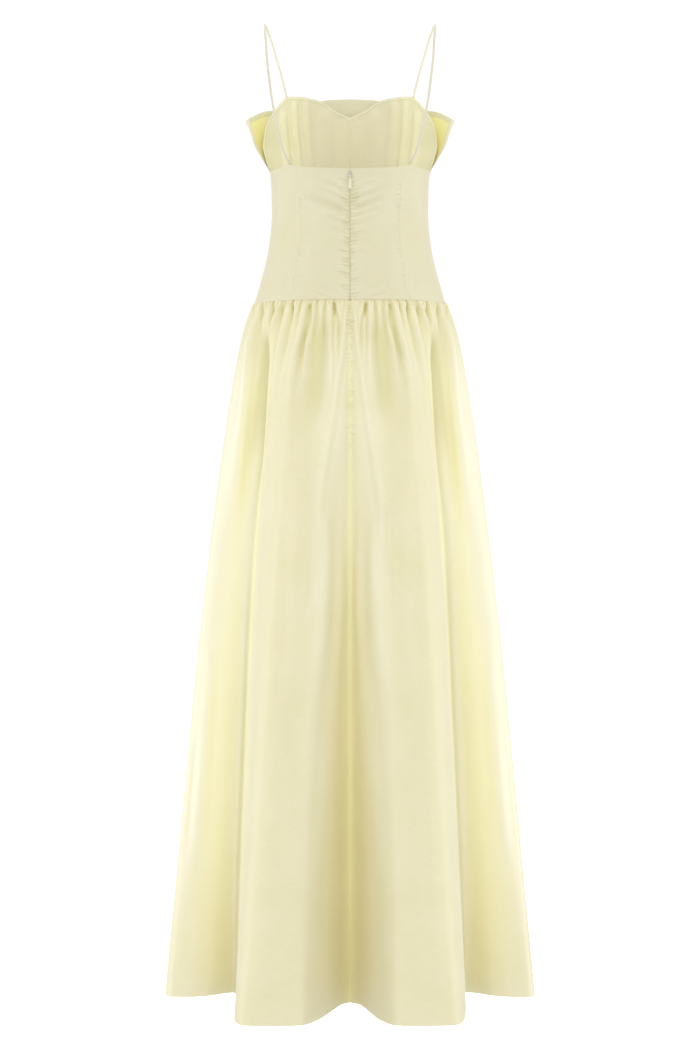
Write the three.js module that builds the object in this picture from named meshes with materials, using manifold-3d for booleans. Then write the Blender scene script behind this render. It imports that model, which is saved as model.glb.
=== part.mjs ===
// A maxi dress, hollow as when worn: a fitted bodice of panels with princess seams, a lined sweetheart
// front, a stand-away bust flap, rouleau straps, a centre-back zip and a long gathered skirt.
// Millimetres, +Z up. The front faces -Y and the wearer's left is +X. The origin lies midway between the
// tops of the two straps, so every height is a drop below it: z = -drop.
// Directions round the body are polar angles in degrees: 0 the left side, 90 the back, -90 the front.

import * as THREE from 'three';
import { mergeVertices } from 'three/addons/utils/BufferGeometryUtils.js';
import Module from 'manifold-3d';

const wasm = await Module();
wasm.setup();

// ---------------------------------------------------------------- driving sizes
const CLOTH = 1.2; // wall of a shell panel
const LINING = 1.0; // wall of the front lining
const FLAP = 1.4; // wall of the bust flap, which is turned double at its edges
const SEAM_GAP = 0.3; // between pieces that are sewn together
const WAIST_DROP = 420; // seam between bodice and skirt
const HEM_DROP = 1456;
const SIDE_TOP_DROP = 222; // top of the side seams
const SECTION_POWER = 2.3; // roundness of the body's sections, 2 being an ellipse

// Level sections of the bodice's outer face.
const BODICE_SECTIONS = [
  { drop: 80, halfWidth: 137, frontDepth: 105, backDepth: 84 },
  { drop: 130, halfWidth: 140, frontDepth: 115, backDepth: 85 },
  { drop: 169, halfWidth: 140, frontDepth: 119, backDepth: 87 },
  { drop: 200, halfWidth: 129.5, frontDepth: 117, backDepth: 88 },
  { drop: 222, halfWidth: 120.3, frontDepth: 110, backDepth: 88 },
  { drop: 250, halfWidth: 118, frontDepth: 99, backDepth: 85.5 },
  { drop: 285, halfWidth: 117.5, frontDepth: 90, backDepth: 83 },
  { drop: 340, halfWidth: 123, frontDepth: 91, backDepth: 90 },
  { drop: 380, halfWidth: 132.5, frontDepth: 95, backDepth: 97 },
  { drop: 420, halfWidth: 144, frontDepth: 99, backDepth: 104 },
];

// Top edge of the front, from the side seam over the armhole and the cup to the V at the centre.
const FRONT_TOP_EDGE = [
  { turn: 0, drop: 222 },
  { turn: 8.6, drop: 211 },
  { turn: 15.2, drop: 193 },
  { turn: 20.4, drop: 168 },
  { turn: 23.6, drop: 143.6 },
  { turn: 27.2, drop: 130.6 },
  { turn: 33.3, drop: 114.4 },
  { turn: 38, drop: 102 },
  { turn: 40.8, drop: 96.6 },
  { turn: 43, drop: 94.6 },
  { turn: 51, drop: 93.7 },
  { turn: 58.5, drop: 95.4 },
  { turn: 69, drop: 100.6 },
  { turn: 76.5, drop: 110.5 },
  { turn: 90, drop: 123 },
];

// Top edge of the back, by the distance from the centre back.
const BACK_TOP_EDGE = [
  { across: 0, drop: 226.4 },
  { across: 50, drop: 224 },
  { across: 73, drop: 221.4 },
  { across: 85, drop: 218.8 },
  { across: 91.8, drop: 217.3 },
  { across: 98, drop: 219 },
  { across: 105, drop: 221 },
  { across: 122, drop: 222 },
];

// Princess seams, by the distance from the centre line at each height.
const BACK_PRINCESS = [
  { drop: 219, across: 79 },
  { drop: 258, across: 74.3 },
  { drop: 293, across: 72.7 },
  { drop: 324, across: 72.7 },
  { drop: 353, across: 75.8 },
  { drop: 381, across: 80.2 },
  { drop: 420, across: 88 },
];
const FRONT_PRINCESS = [
  { drop: 92, across: 92 },
  { drop: 180, across: 84 },
  { drop: 285, across: 60 },
  { drop: 420, across: 72 },
];

// The skirt's large folds on the left half: the direction of each at the waist seam and its place at the
// hem. A dip opens late, below the end of the zip, and moves the hem in from there.
const SKIRT_FOLDS = [
  { turn: -90, hemX: 0, hemY: -196, dip: 0 },
  { turn: -81, hemX: 38, hemY: -212, dip: 0 },
  { turn: -73, hemX: 72, hemY: -240, dip: 0 },
  { turn: -64, hemX: 114, hemY: -246, dip: 0 },
  { turn: -55, hemX: 150, hemY: -216, dip: 0 },
  { turn: -45, hemX: 160, hemY: -150, dip: 0 },
  { turn: -35, hemX: 172, hemY: -84, dip: 0 },
  { turn: -25, hemX: 216, hemY: -82, dip: 0 },
  { turn: -12, hemX: 264, hemY: -56, dip: 0 },
  { turn: 0, hemX: 279, hemY: -12, dip: 0 },
  { turn: 8, hemX: 268, hemY: 14, dip: 0 },
  { turn: 16, hemX: 240, hemY: 15, dip: 0 },
  { turn: 20.5, hemX: 212, hemY: 3, dip: 0 },
  { turn: 25, hemX: 190, hemY: -22, dip: 0 },
  { turn: 30, hemX: 174, hemY: -32, dip: 0 },
  { turn: 39, hemX: 170, hemY: 54, dip: 0 },
  { turn: 49, hemX: 167, hemY: 165, dip: 0 },
  { turn: 55.5, hemX: 162, hemY: 240, dip: 0 },
  { turn: 58.5, hemX: 150, hemY: 262, dip: 0 },
  { turn: 63.5, hemX: 108, hemY: 264, dip: 0 },
  { turn: 70, hemX: 68, hemY: 264, dip: 2 },
  { turn: 76.5, hemX: 44, hemY: 264, dip: 50 },
  { turn: 83.5, hemX: 25, hemY: 264, dip: 136 },
  { turn: 87, hemX: 13, hemY: 264, dip: 192 },
  { turn: 90, hemX: 0, hemY: 264, dip: 210 },
];
const FLARE_POWER = 0.66; // how fast the skirt spreads below the waist seam
const DIP_START = 0.17; // share of the skirt's length above which no dip opens
const DIP_POWER = 0.9;

// Gathers of the left back panel: the valley's distance from the centre back, its depth and its length.
const BACK_GATHERS = [
  { across: 9.8, depth: 2.2, length: 90 },
  { across: 22, depth: 4.2, length: 190 },
  { across: 36, depth: 2.6, length: 110 },
  { across: 46, depth: 2.4, length: 90 },
  { across: 56.5, depth: 4.4, length: 210 },
  { across: 69.5, depth: 3.0, length: 130 },
  { across: 82, depth: 3.4, length: 160 },
  { across: 95, depth: 3.6, length: 190 },
  { across: 111, depth: 3.2, length: 150 },
  { across: 127, depth: 3.4, length: 130 },
  { across: 139, depth: 2.8, length: 110 },
];
const FRONT_GATHER_COUNT = 13; // on each half of the front
const GATHER_RISE = 16; // distance below the seam at which a gather is at its deepest
const GATHER_PINCH = 0.35; // share of its depth that a gather has at the seam itself
const GATHER_CREST = 0.4; // height of the crests beside a valley, as a share of its depth
const GATHER_STEPS = [0, 0.28, 0.5, 0.72]; // columns of the wall from one valley to the next

// Bust flap: its free top edge and how far the top and the side edge stand off the bodice.
const FLAP_FOOT_DROP = 262; // sewn edge under the bust
const FLAP_GAP = 1.25; // between the flap's sewn stretch and the bodice
const FLAP_ROWS = 9;
const FLAP_COLUMNS = 16; // from the centre to each side
const FLAP_LEAVE = 0.3; // share of its height up to which it lies on the bodice
const FLAP_STAND_CENTER = 31;
const FLAP_STAND_SIDE = 30;
const FLAP_CURL = 2.3; // how late it leaves the bodice
const FLAP_SIDE_TURN = 8; // direction of the sewn side edge
const FLAP_CORNER_TURN = 21.3; // direction of the free top corner
const FLAP_TOP_EDGE = [
  { turn: 21.3, drop: 135.8 },
  { turn: 23, drop: 132.2 },
  { turn: 25, drop: 129.5 },
  { turn: 28, drop: 125.1 },
  { turn: 32, drop: 119.5 },
  { turn: 36, drop: 115.1 },
  { turn: 41, drop: 112.2 },
  { turn: 55, drop: 103 },
  { turn: 75, drop: 92 },
  { turn: 90, drop: 90.5 },
];

// Strap centre line of the left strap, from the front edge over the shoulder to inside the back edge.
const STRAP_RADIUS = 1.8;
const STRAP_ROUTE = [
  { x: 97.4, y: -83.4, drop: 94.8 },
  { x: 98.9, y: -81.6, drop: 88.5 },
  { x: 101.9, y: -77.6, drop: 76 },
  { x: 107.6, y: -68, drop: 55 },
  { x: 114.2, y: -57, drop: 33 },
  { x: 119.7, y: -43, drop: 15.6 },
  { x: 124.8, y: -23, drop: 3.2 },
  { x: 127.4, y: 0, drop: 0 },
  { x: 127, y: 20, drop: 8.5 },
  { x: 125.3, y: 35, drop: 29 },
  { x: 123, y: 48, drop: 60 },
  { x: 119.6, y: 57, drop: 90 },
  { x: 115.7, y: 62, drop: 119 },
  { x: 107.6, y: 66, drop: 161 },
  { x: 98.5, y: 67, drop: 198 },
];
const STRAP_END_DROPS = [217, 231]; // last points, which lie against the inner face of the back
const STRAP_END_ACROSS = 91;
const STRAP_SIDES = 8;
const STRAP_STEPS = 34;

// Zip in the centre-back seam.
const TAPE_THICKNESS = 0.9;
const TAPE_GATHER_ROOM = 3.4; // how much deeper the tape lies behind the gathers
const TAPE_GATHER_DROPS = [400, 424]; // where it goes deeper
const SLIDER = { halfWidth: 2.7, height: 10, depth: 1.5, topDrop: 230 };
const HINGE = { drop: 238.2, standOff: 3.7, pinRadius: 0.5, holeRadius: 0.85, eyeRadius: 1.55 };
const CHEEK = { inner: 1.45, outer: 2.3, radius: 1.25 };
const EYE_HALF_WIDTH = 1.1;
const CLEAR_OF_CHEEK = 0.5; // from the cheeks to where the tab grows wider
const PULL = { length: 18, shoulderWidth: 3.4, bodyWidth: 4.8, thickness: 1.0 };
const TIP_STEPS = 4;
const ROUND_SIDES = 14;
const MERGE_DISTANCE = 1e-4;

const PLACE_ROUNDS = 16; // enough to settle a panel point that depends on its own height

// ---------------------------------------------------------------- finishes
const finish = (color, roughness, metalness = 0) => ({ color, roughness, metalness });
const SHELL = finish('#e4dfc0', 0.55);
const SKIRT_CLOTH = finish('#e9e4bd', 0.55);
const INSIDE = finish('#dad3b0', 0.6);
const FLAP_CLOTH = finish('#ebe4a8', 0.55);
const STRAP_CLOTH = finish('#e0dac0', 0.6);
const TAPE = finish('#cfc990', 0.8);
const STEEL = finish('#b9b9b4', 0.35, 1);
const PULL_PAINT = finish('#e6dfae', 0.4);

// ---------------------------------------------------------------- small tools
const radians = THREE.MathUtils.degToRad;
const degrees = THREE.MathUtils.radToDeg;
const lerp = THREE.MathUtils.lerp;
const smoothstep = THREE.MathUtils.smoothstep;
const countTo = (last) => Array.from({ length: last + 1 }, (_, step) => step);

// The slope of a table's curve at row i: the harmonic mean of the slopes either side, or level at a peak.
function slopeAt(rows, key, column, i) {
  const slope = (k) => (rows[k + 1][column] - rows[k][column]) / (rows[k + 1][key] - rows[k][key]);
  if (i === 0) {
    return slope(0);
  }
  if (i === rows.length - 1) {
    return slope(i - 1);
  }
  const [before, after] = [slope(i - 1), slope(i)];
  return before * after <= 0 ? 0 : (2 * before * after) / (before + after);
}

// A smooth curve through one column of a table, which never overshoots its rows.
function read(rows, key, column, at) {
  const last = rows.length - 1;
  const place = THREE.MathUtils.clamp(at, rows[0][key], rows[last][key]);
  let i = 0;
  while (i < last - 1 && rows[i + 1][key] < place) {
    i += 1;
  }
  const span = rows[i + 1][key] - rows[i][key];
  const t = (place - rows[i][key]) / span;
  const rise = rows[i + 1][column] - rows[i][column];
  const start = slopeAt(rows, key, column, i) * span;
  const end = slopeAt(rows, key, column, i + 1) * span;
  return rows[i][column] + t * start + t * t * (3 * rise - 2 * start - end) + t ** 3 * (start + end - 2 * rise);
}

// ---------------------------------------------------------------- surfaces: (turn, drop) to a point
function bodicePoint(turn, drop) {
  const [across, along] = [Math.cos(radians(turn)), Math.sin(radians(turn))];
  const width = read(BODICE_SECTIONS, 'drop', 'halfWidth', drop);
  const depth = read(BODICE_SECTIONS, 'drop', along < 0 ? 'frontDepth' : 'backDepth', drop);
  const share = (Math.abs(across) / width) ** SECTION_POWER + (Math.abs(along) / depth) ** SECTION_POWER;
  const reach = share ** (-1 / SECTION_POWER);
  return new THREE.Vector3(reach * across, reach * along, -drop);
}

// The direction in which the bodice is `across` from its centre line, on the back (1) or the front (-1).
function turnAcross(across, drop, side) {
  const width = read(BODICE_SECTIONS, 'drop', 'halfWidth', drop);
  const depth = read(BODICE_SECTIONS, 'drop', side < 0 ? 'frontDepth' : 'backDepth', drop);
  const inside = Math.max(1 - (across / width) ** SECTION_POWER, 0);
  return degrees(Math.atan2(side * depth * inside ** (1 / SECTION_POWER), across));
}

// Gather valleys of the left half by their direction, from just past the centre front to the centre back.
const frontValleys = countTo(FRONT_GATHER_COUNT - 1).map((i) => ({
  turn: -90 + ((i + 0.5 + 0.22 * Math.sin(2.4 * i)) * 90) / FRONT_GATHER_COUNT,
  depth: 3.1 + 0.9 * Math.sin(1.7 * i + 0.6),
  length: 140 + 45 * Math.sin(2.9 * i),
}));
const backValleys = BACK_GATHERS.map(({ across, depth, length }) => ({
  turn: turnAcross(across, WAIST_DROP, 1),
  depth,
  length,
})).reverse();
const pastCenterFront = { ...frontValleys[0], turn: -180 - frontValleys[0].turn };
const zipValley = { turn: 90, depth: 1.6, length: 60 };
const gatherValleys = [pastCenterFront, ...frontValleys, ...backValleys, zipValley];

// The same direction on the left half, for one on either half.
function leftTurn(turn) {
  const back = turn > 90 ? 180 - turn : turn;
  return back < -90 ? -180 - back : back;
}

// How deep a gather is, as a share, at a distance below the waist seam.
function gatherShare(below, length) {
  const grown = GATHER_PINCH + (1 - GATHER_PINCH) * smoothstep(below, 0, GATHER_RISE);
  return grown * (1 - smoothstep(below, 0.15 * length, length));
}

// How far the gathers move the skirt's face out: narrow valleys with round crests between them.
function gatherHeight(turn, drop) {
  const place = leftTurn(turn);
  const next = Math.max(gatherValleys.findIndex((valley) => valley.turn >= place), 1);
  const [before, after] = [gatherValleys[next - 1], gatherValleys[next]];
  const way = (place - before.turn) / (after.turn - before.turn);
  const below = drop - WAIST_DROP;
  const heights = [before, after].map(({ depth, length }) => depth * gatherShare(below, length));
  const valley = (distance) => (1 - smoothstep(distance, 0, 0.42)) ** 1.4;
  const crest = GATHER_CREST * lerp(heights[0], heights[1], way);
  const wall = [valley(way), valley(1 - way)];
  return crest - (1 + GATHER_CREST) * (heights[0] * wall[0] + heights[1] * wall[1]);
}

// The skirt without its gathers: a blend from the waist seam to the hem's outline.
function plainSkirtPoint(turn, drop) {
  const half = leftTurn(turn);
  const mirror = half === turn ? 1 : -1;
  const fall = THREE.MathUtils.clamp((drop - WAIST_DROP) / (HEM_DROP - WAIST_DROP), 0, 1);
  const spread = fall ** FLARE_POWER;
  const late = Math.max((fall - DIP_START) / (1 - DIP_START), 0) ** DIP_POWER;
  const seam = bodicePoint(half, WAIST_DROP);
  const hem = (column) => read(SKIRT_FOLDS, 'turn', column, half);
  const x = lerp(seam.x, hem('hemX'), spread);
  const y = lerp(seam.y, hem('hemY'), spread) - hem('dip') * late;
  return new THREE.Vector3(mirror * x, y, -drop);
}

// The level direction out of a surface, and how much a level step must grow to keep a wall's thickness.
function outward(surface, turn, drop) {
  const [turnStep, dropStep] = [0.35, 1.5];
  const along = surface(turn + turnStep, drop).sub(surface(turn - turnStep, drop));
  const down = surface(turn, drop + dropStep).sub(surface(turn, drop - dropStep));
  const normal = new THREE.Vector3().crossVectors(down, along).normalize();
  const level = Math.hypot(normal.x, normal.y);
  return { direction: new THREE.Vector3(normal.x / level, normal.y / level, 0), stretch: Math.min(1 / level, 1.5) };
}

// A surface moved out (or in, for a negative lift), with its points kept level.
function moved(surface, turn, drop, lift) {
  const { direction, stretch } = outward(surface, turn, drop);
  return surface(turn, drop).addScaledVector(direction, lift * stretch);
}

function skirtPoint(turn, drop) {
  return moved(plainSkirtPoint, turn, drop, gatherHeight(turn, drop));
}

const mirror = (point) => new THREE.Vector3(-point.x, point.y, point.z);

// ---------------------------------------------------------------- solids
// Turns a closed mesh's faces outwards and drops all but its places.
function closedGeometry(positions, index) {
  const corner = (i) => new THREE.Vector3().fromArray(positions, 3 * index[i]);
  let volume = 0;
  for (let i = 0; i < index.length; i += 3) {
    volume += corner(i).dot(corner(i + 1).cross(corner(i + 2)));
  }
  const geometry = new THREE.BufferGeometry();
  geometry.setAttribute('position', new THREE.Float32BufferAttribute(positions, 3));
  geometry.setIndex(volume < 0 ? index.slice().reverse() : index);
  return geometry;
}

// A wall of cloth from rows of { outer, inner } points. Where a row has half the cells of the one above,
// each of its cells meets two of them.
function clothWall(rows) {
  const positions = [];
  const starts = [];
  const index = [];
  for (const row of rows) {
    starts.push(positions.length / 3);
    row.forEach(({ outer, inner }) => positions.push(...outer.toArray(), ...inner.toArray()));
  }
  const outer = (row, column) => starts[row] + 2 * column;
  const inner = (row, column) => outer(row, column) + 1;
  const last = (row) => rows[row].length - 1;
  const quad = (a, b, c, d) => index.push(a, b, c, a, c, d);

  for (let row = 0; row < rows.length - 1; row += 1) {
    const ratio = last(row) / last(row + 1);
    for (let cell = 0; cell < last(row + 1); cell += 1) {
      const [left, right] = [ratio * cell, ratio * (cell + 1)];
      if (ratio === 1) {
        quad(outer(row, left), outer(row + 1, cell), outer(row + 1, cell + 1), outer(row, right));
        quad(inner(row, left), inner(row, right), inner(row + 1, cell + 1), inner(row + 1, cell));
      } else {
        const middle = left + 1;
        index.push(outer(row, left), outer(row + 1, cell), outer(row, middle));
        index.push(outer(row, middle), outer(row + 1, cell), outer(row + 1, cell + 1));
        index.push(outer(row, middle), outer(row + 1, cell + 1), outer(row, right));
        index.push(inner(row, left), inner(row, middle), inner(row + 1, cell));
        index.push(inner(row, middle), inner(row + 1, cell + 1), inner(row + 1, cell));
        index.push(inner(row, middle), inner(row, right), inner(row + 1, cell + 1));
      }
    }
    const [end, nextEnd] = [last(row), last(row + 1)];
    quad(outer(row, 0), inner(row, 0), inner(row + 1, 0), outer(row + 1, 0));
    quad(outer(row, end), outer(row + 1, nextEnd), inner(row + 1, nextEnd), inner(row, end));
  }
  const bottom = rows.length - 1;
  for (let column = 0; column < last(0); column += 1) {
    quad(outer(0, column), outer(0, column + 1), inner(0, column + 1), inner(0, column));
  }
  for (let column = 0; column < last(bottom); column += 1) {
    quad(outer(bottom, column), inner(bottom, column), inner(bottom, column + 1), outer(bottom, column + 1));
  }
  return closedGeometry(positions, index);
}

// The mirror image of a closed mesh on the other side of the body.
function mirrored(geometry) {
  const positions = Array.from(geometry.attributes.position.array);
  const flipped = positions.map((value, i) => (i % 3 === 0 ? -value : value));
  return closedGeometry(flipped, Array.from(geometry.index.array));
}

const wallPair = (surface, turn, drop, lift, thickness) => ({
  outer: moved(surface, turn, drop, lift),
  inner: moved(surface, turn, drop, lift - thickness),
});

// Half a seam's gap as an angle, at a place on a surface.
const gapTurn = (point) => degrees(SEAM_GAP / 2 / Math.hypot(point.x, point.y));

// The place of one point of a bodice panel, as its turn and drop. A panel lies between two seams, each given
// by its turn at a drop, and runs from its top edge to the waist.
function panelPlace({ top, from, to, columns, rows }, row, column) {
  const bottom = WAIST_DROP - SEAM_GAP / 2;
  let [turn, drop] = [0, 0];
  for (let round = 0; round < PLACE_ROUNDS; round += 1) {
    const gap = gapTurn(bodicePoint(turn, drop));
    turn = lerp(from(drop) - gap, to(drop) + gap, column / columns);
    drop = lerp(top(turn), bottom, row / rows);
  }
  return { turn, drop };
}

function bodicePanel(panel) {
  const point = (row, column) => {
    const { turn, drop } = panelPlace(panel, row, column);
    return wallPair(bodicePoint, turn, drop, 0, CLOTH);
  };
  return clothWall(countTo(panel.rows).map((row) => countTo(panel.columns).map((column) => point(row, column))));
}

// ---------------------------------------------------------------- the bodice
const frontTop = (turn) => read(FRONT_TOP_EDGE, 'turn', 'drop', -turn);
const backTop = (turn) =>
  read(BACK_TOP_EDGE, 'across', 'drop', bodicePoint(turn, SIDE_TOP_DROP).x);
const sideSeam = () => 0;
const centerBack = () => 90;
const centerFront = () => -90;
const backPrincess = (drop) => turnAcross(read(BACK_PRINCESS, 'drop', 'across', drop), drop, 1);
const frontPrincess = (drop) => turnAcross(read(FRONT_PRINCESS, 'drop', 'across', drop), drop, -1);

const backCenter = { top: backTop, from: centerBack, to: backPrincess, columns: 7, rows: 9 };
const backSide = { top: backTop, from: backPrincess, to: sideSeam, columns: 6, rows: 9 };
const frontSide = { top: frontTop, from: sideSeam, to: frontPrincess, columns: 12, rows: 10 };
const frontCenter = { top: frontTop, from: frontPrincess, to: centerFront, columns: 8, rows: 10 };

// The lining of half the front lies on the points of its two shell panels, moved in.
function liningShape() {
  const rowPlaces = (row) => [
    ...countTo(frontSide.columns).map((column) => panelPlace(frontSide, row, column)),
    ...countTo(frontCenter.columns).slice(1).map((column) => panelPlace(frontCenter, row, column)),
  ];
  const lift = -CLOTH - SEAM_GAP;
  const point = ({ turn, drop }) => wallPair(bodicePoint, turn, drop, lift, LINING);
  return clothWall(countTo(frontSide.rows).map((row) => rowPlaces(row).map(point)));
}

// ---------------------------------------------------------------- the bust flap
// One row of the flap at a share of its height, from the right side seam round the front to the left.
function flapRow(share) {
  const loose = Math.max((share - FLAP_LEAVE) / (1 - FLAP_LEAVE), 0) ** FLAP_CURL;
  const sideTurn = -lerp(FLAP_SIDE_TURN, FLAP_CORNER_TURN, loose ** 0.5);
  const place = (across) => {
    const turn = lerp(-90, sideTurn, across);
    const topTurn = lerp(90, FLAP_CORNER_TURN, across);
    const drop = lerp(FLAP_FOOT_DROP, read(FLAP_TOP_EDGE, 'turn', 'drop', topTurn), share);
    const lift = FLAP_GAP + loose * lerp(FLAP_STAND_CENTER, FLAP_STAND_SIDE, across);
    return wallPair(bodicePoint, turn, drop, lift + FLAP, FLAP);
  };
  const left = countTo(FLAP_COLUMNS).map((column) => place(column / FLAP_COLUMNS));
  const right = left.slice(1).map(({ outer, inner }) => ({ outer: mirror(outer), inner: mirror(inner) }));
  return [...right.reverse(), ...left];
}

const bustFlap = clothWall(countTo(FLAP_ROWS).map((row) => flapRow(1 - row / FLAP_ROWS)));

// ---------------------------------------------------------------- the straps
function strapShape() {
  const inward = -(CLOTH + SEAM_GAP + STRAP_RADIUS + 0.2);
  const route = STRAP_ROUTE.map(({ x, y, drop }) => new THREE.Vector3(x, y, -drop));
  for (const drop of STRAP_END_DROPS) {
    route.push(moved(bodicePoint, turnAcross(STRAP_END_ACROSS, drop, 1), drop, inward));
  }
  const section = new THREE.Shape(
    countTo(STRAP_SIDES - 1).map((side) => {
      const angle = (2 * Math.PI * side) / STRAP_SIDES;
      return new THREE.Vector2(STRAP_RADIUS * Math.cos(angle), STRAP_RADIUS * Math.sin(angle));
    }),
  );
  const extrudePath = new THREE.CatmullRomCurve3(route);
  const tube = new THREE.ExtrudeGeometry(section, { steps: STRAP_STEPS, extrudePath });
  return fromSolid(solid(tube));
}

// ---------------------------------------------------------------- the skirt
// Directions of a wall's columns between two seams: at each gather's valley and over the crest after it.
function gatherColumns(from, to) {
  const left = gatherValleys.slice(1, -1).map(({ turn }) => turn);
  const all = [...left, ...left.map((turn) => -180 - turn)];
  const valleys = all.filter((turn) => turn > from + 1 && turn < to - 1);
  const stops = [from, ...valleys.sort((a, b) => a - b), to];
  const columns = [];
  for (let i = 0; i < stops.length - 1; i += 1) {
    GATHER_STEPS.forEach((step) => columns.push(lerp(stops[i], stops[i + 1], step)));
  }
  return [...columns, to];
}

const GATHERED_DROPS = [420.15, 428, 441, 463, 505, 575];
const FALLING_DROPS = [660, 770, 900, 1040, 1190, 1330, HEM_DROP];

function skirtPanel(from, to) {
  const columns = gatherColumns(from, to);
  const ends = columns.length - 1;
  const wallRow = (drop, every) =>
    columns
      .filter((_, column) => column % every === 0)
      .map((turn) => {
        const gap = gapTurn(plainSkirtPoint(turn, drop));
        const inset = turn === columns[0] ? gap : turn === columns[ends] ? -gap : 0;
        return wallPair(skirtPoint, turn + inset, drop, 0, CLOTH);
      });
  const rows = [
    ...GATHERED_DROPS.map((drop) => wallRow(drop, 1)),
    ...FALLING_DROPS.map((drop) => wallRow(drop, 2)),
  ];
  return clothWall(rows);
}

// ---------------------------------------------------------------- the zip
// The tape follows the points of the centre back panels, moved in, and then the skirt behind its gathers.
function zipTapeShape() {
  const half = ({ turn, drop }, surface) => {
    const depth = CLOTH + SEAM_GAP + TAPE_GATHER_ROOM * smoothstep(drop, ...TAPE_GATHER_DROPS);
    return wallPair(surface, turn, drop, -depth, TAPE_THICKNESS);
  };
  const whole = (edge, surface) => {
    const left = half(edge, surface);
    const right = { outer: mirror(left.outer), inner: mirror(left.inner) };
    return [right, half({ turn: 90, drop: edge.drop }, surface), left];
  };
  const onBodice = countTo(backCenter.rows).map((row) => whole(panelPlace(backCenter, row, 1), bodicePoint));
  const edgeTurn = panelPlace(backCenter, backCenter.rows, 1).turn;
  const onSkirt = GATHERED_DROPS.slice(1).map((drop) => whole({ turn: edgeTurn, drop }, plainSkirtPoint));
  return clothWall([...onBodice, ...onSkirt]);
}

// A closed three.js shape as a solid that can be joined and cut, and back again.
function solid(geometry) {
  const bare = geometry.index ? geometry.toNonIndexed() : geometry.clone();
  bare.deleteAttribute('normal');
  bare.deleteAttribute('uv');
  const merged = mergeVertices(bare, MERGE_DISTANCE);
  const vertProperties = new Float32Array(merged.attributes.position.array);
  const triVerts = new Uint32Array(merged.index.array);
  return new wasm.Manifold(new wasm.Mesh({ numProp: 3, vertProperties, triVerts }));
}

function fromSolid(manifold) {
  const { vertProperties, triVerts } = manifold.getMesh();
  return closedGeometry(Array.from(vertProperties), Array.from(triVerts));
}

// The back's outer face on the centre line, where the slider lies, and the line of its hinge pin.
const sliderFace = bodicePoint(90, SLIDER.topDrop).y + SEAM_GAP;
const pinY = sliderFace + HINGE.standOff;

// A round bar along X through the hinge's line, between two distances from the centre.
function hingeBar(radius, from, to) {
  const bar = new THREE.CylinderGeometry(radius, radius, to - from, ROUND_SIDES);
  bar.rotateZ(Math.PI / 2);
  bar.translate((from + to) / 2, pinY, -HINGE.drop);
  return bar;
}

// An outline given as distances across and up, made as thick as asked along Y, from a back face.
function plate(outline, backY, thickness) {
  const geometry = new THREE.ExtrudeGeometry(new THREE.Shape(outline), { depth: thickness, bevelEnabled: false });
  geometry.rotateX(Math.PI / 2);
  geometry.translate(0, backY + thickness, 0);
  return geometry;
}

// A box between two corners.
function block(low, high) {
  const size = high.clone().sub(low);
  const box = new THREE.BoxGeometry(size.x, size.y, size.z);
  const middle = low.clone().add(high).multiplyScalar(0.5);
  return box.translate(middle.x, middle.y, middle.z);
}

function sliderShape() {
  const top = -SLIDER.topDrop;
  const bottom = top - SLIDER.height;
  const shoulder = top - SLIDER.height * 0.35;
  const half = SLIDER.halfWidth;
  const outline = [
    new THREE.Vector2(-half * 0.6, top),
    new THREE.Vector2(half * 0.6, top),
    new THREE.Vector2(half, shoulder),
    new THREE.Vector2(half * 0.62, bottom),
    new THREE.Vector2(-half * 0.62, bottom),
    new THREE.Vector2(-half, shoulder),
  ];
  const base = solid(plate(outline, sliderFace, SLIDER.depth));
  const pin = solid(hingeBar(HINGE.pinRadius, -CHEEK.outer, CHEEK.outer));
  const cheeks = [-1, 1].map((side) => {
    const [near, far] = [side * CHEEK.inner, side * CHEEK.outer].sort((a, b) => a - b);
    const arm = block(
      new THREE.Vector3(near, sliderFace + SLIDER.depth / 2, -HINGE.drop - CHEEK.radius),
      new THREE.Vector3(far, pinY, -HINGE.drop + CHEEK.radius),
    );
    return solid(arm).add(solid(hingeBar(CHEEK.radius, near, far)));
  });
  return fromSolid(cheeks.reduce((joined, cheek) => joined.add(cheek), base.add(pin)));
}

// The pull tab hangs down from its eye: a neck between the cheeks and a teardrop below it.
function pullShape() {
  const neckEnd = -HINGE.drop - CHEEK.radius - CLEAR_OF_CHEEK;
  const tip = -HINGE.drop - PULL.length;
  const widest = tip + PULL.bodyWidth / 2;
  const right = [
    new THREE.Vector2(EYE_HALF_WIDTH, -HINGE.drop - HINGE.holeRadius - PULL.thickness / 4),
    new THREE.Vector2(EYE_HALF_WIDTH, neckEnd),
    new THREE.Vector2(PULL.shoulderWidth / 2, neckEnd - PULL.shoulderWidth / 2),
    ...countTo(TIP_STEPS).map((step) => {
      const angle = (Math.PI / 2) * (step / TIP_STEPS);
      const reach = PULL.bodyWidth / 2;
      return new THREE.Vector2(reach * Math.cos(angle), widest - reach * Math.sin(angle));
    }),
  ];
  const left = right.slice(0, -1).map(({ x, y }) => new THREE.Vector2(-x, y)).reverse();
  const tab = solid(plate([...right, ...left], pinY - PULL.thickness / 2, PULL.thickness));
  const eye = solid(hingeBar(HINGE.eyeRadius, -EYE_HALF_WIDTH, EYE_HALF_WIDTH));
  const bore = solid(hingeBar(HINGE.holeRadius, -CHEEK.outer, CHEEK.outer));
  return fromSolid(tab.add(eye).subtract(bore));
}

// ---------------------------------------------------------------- the dress
function mesh(name, geometry, look) {
  const made = new THREE.Mesh(geometry, new THREE.MeshStandardMaterial(look));
  made.name = name;
  return made;
}

const dress = new THREE.Group();

function addPair(name, geometry, look) {
  dress.add(mesh(`${name}_left`, geometry, look), mesh(`${name}_right`, mirrored(geometry), look));
}

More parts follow.
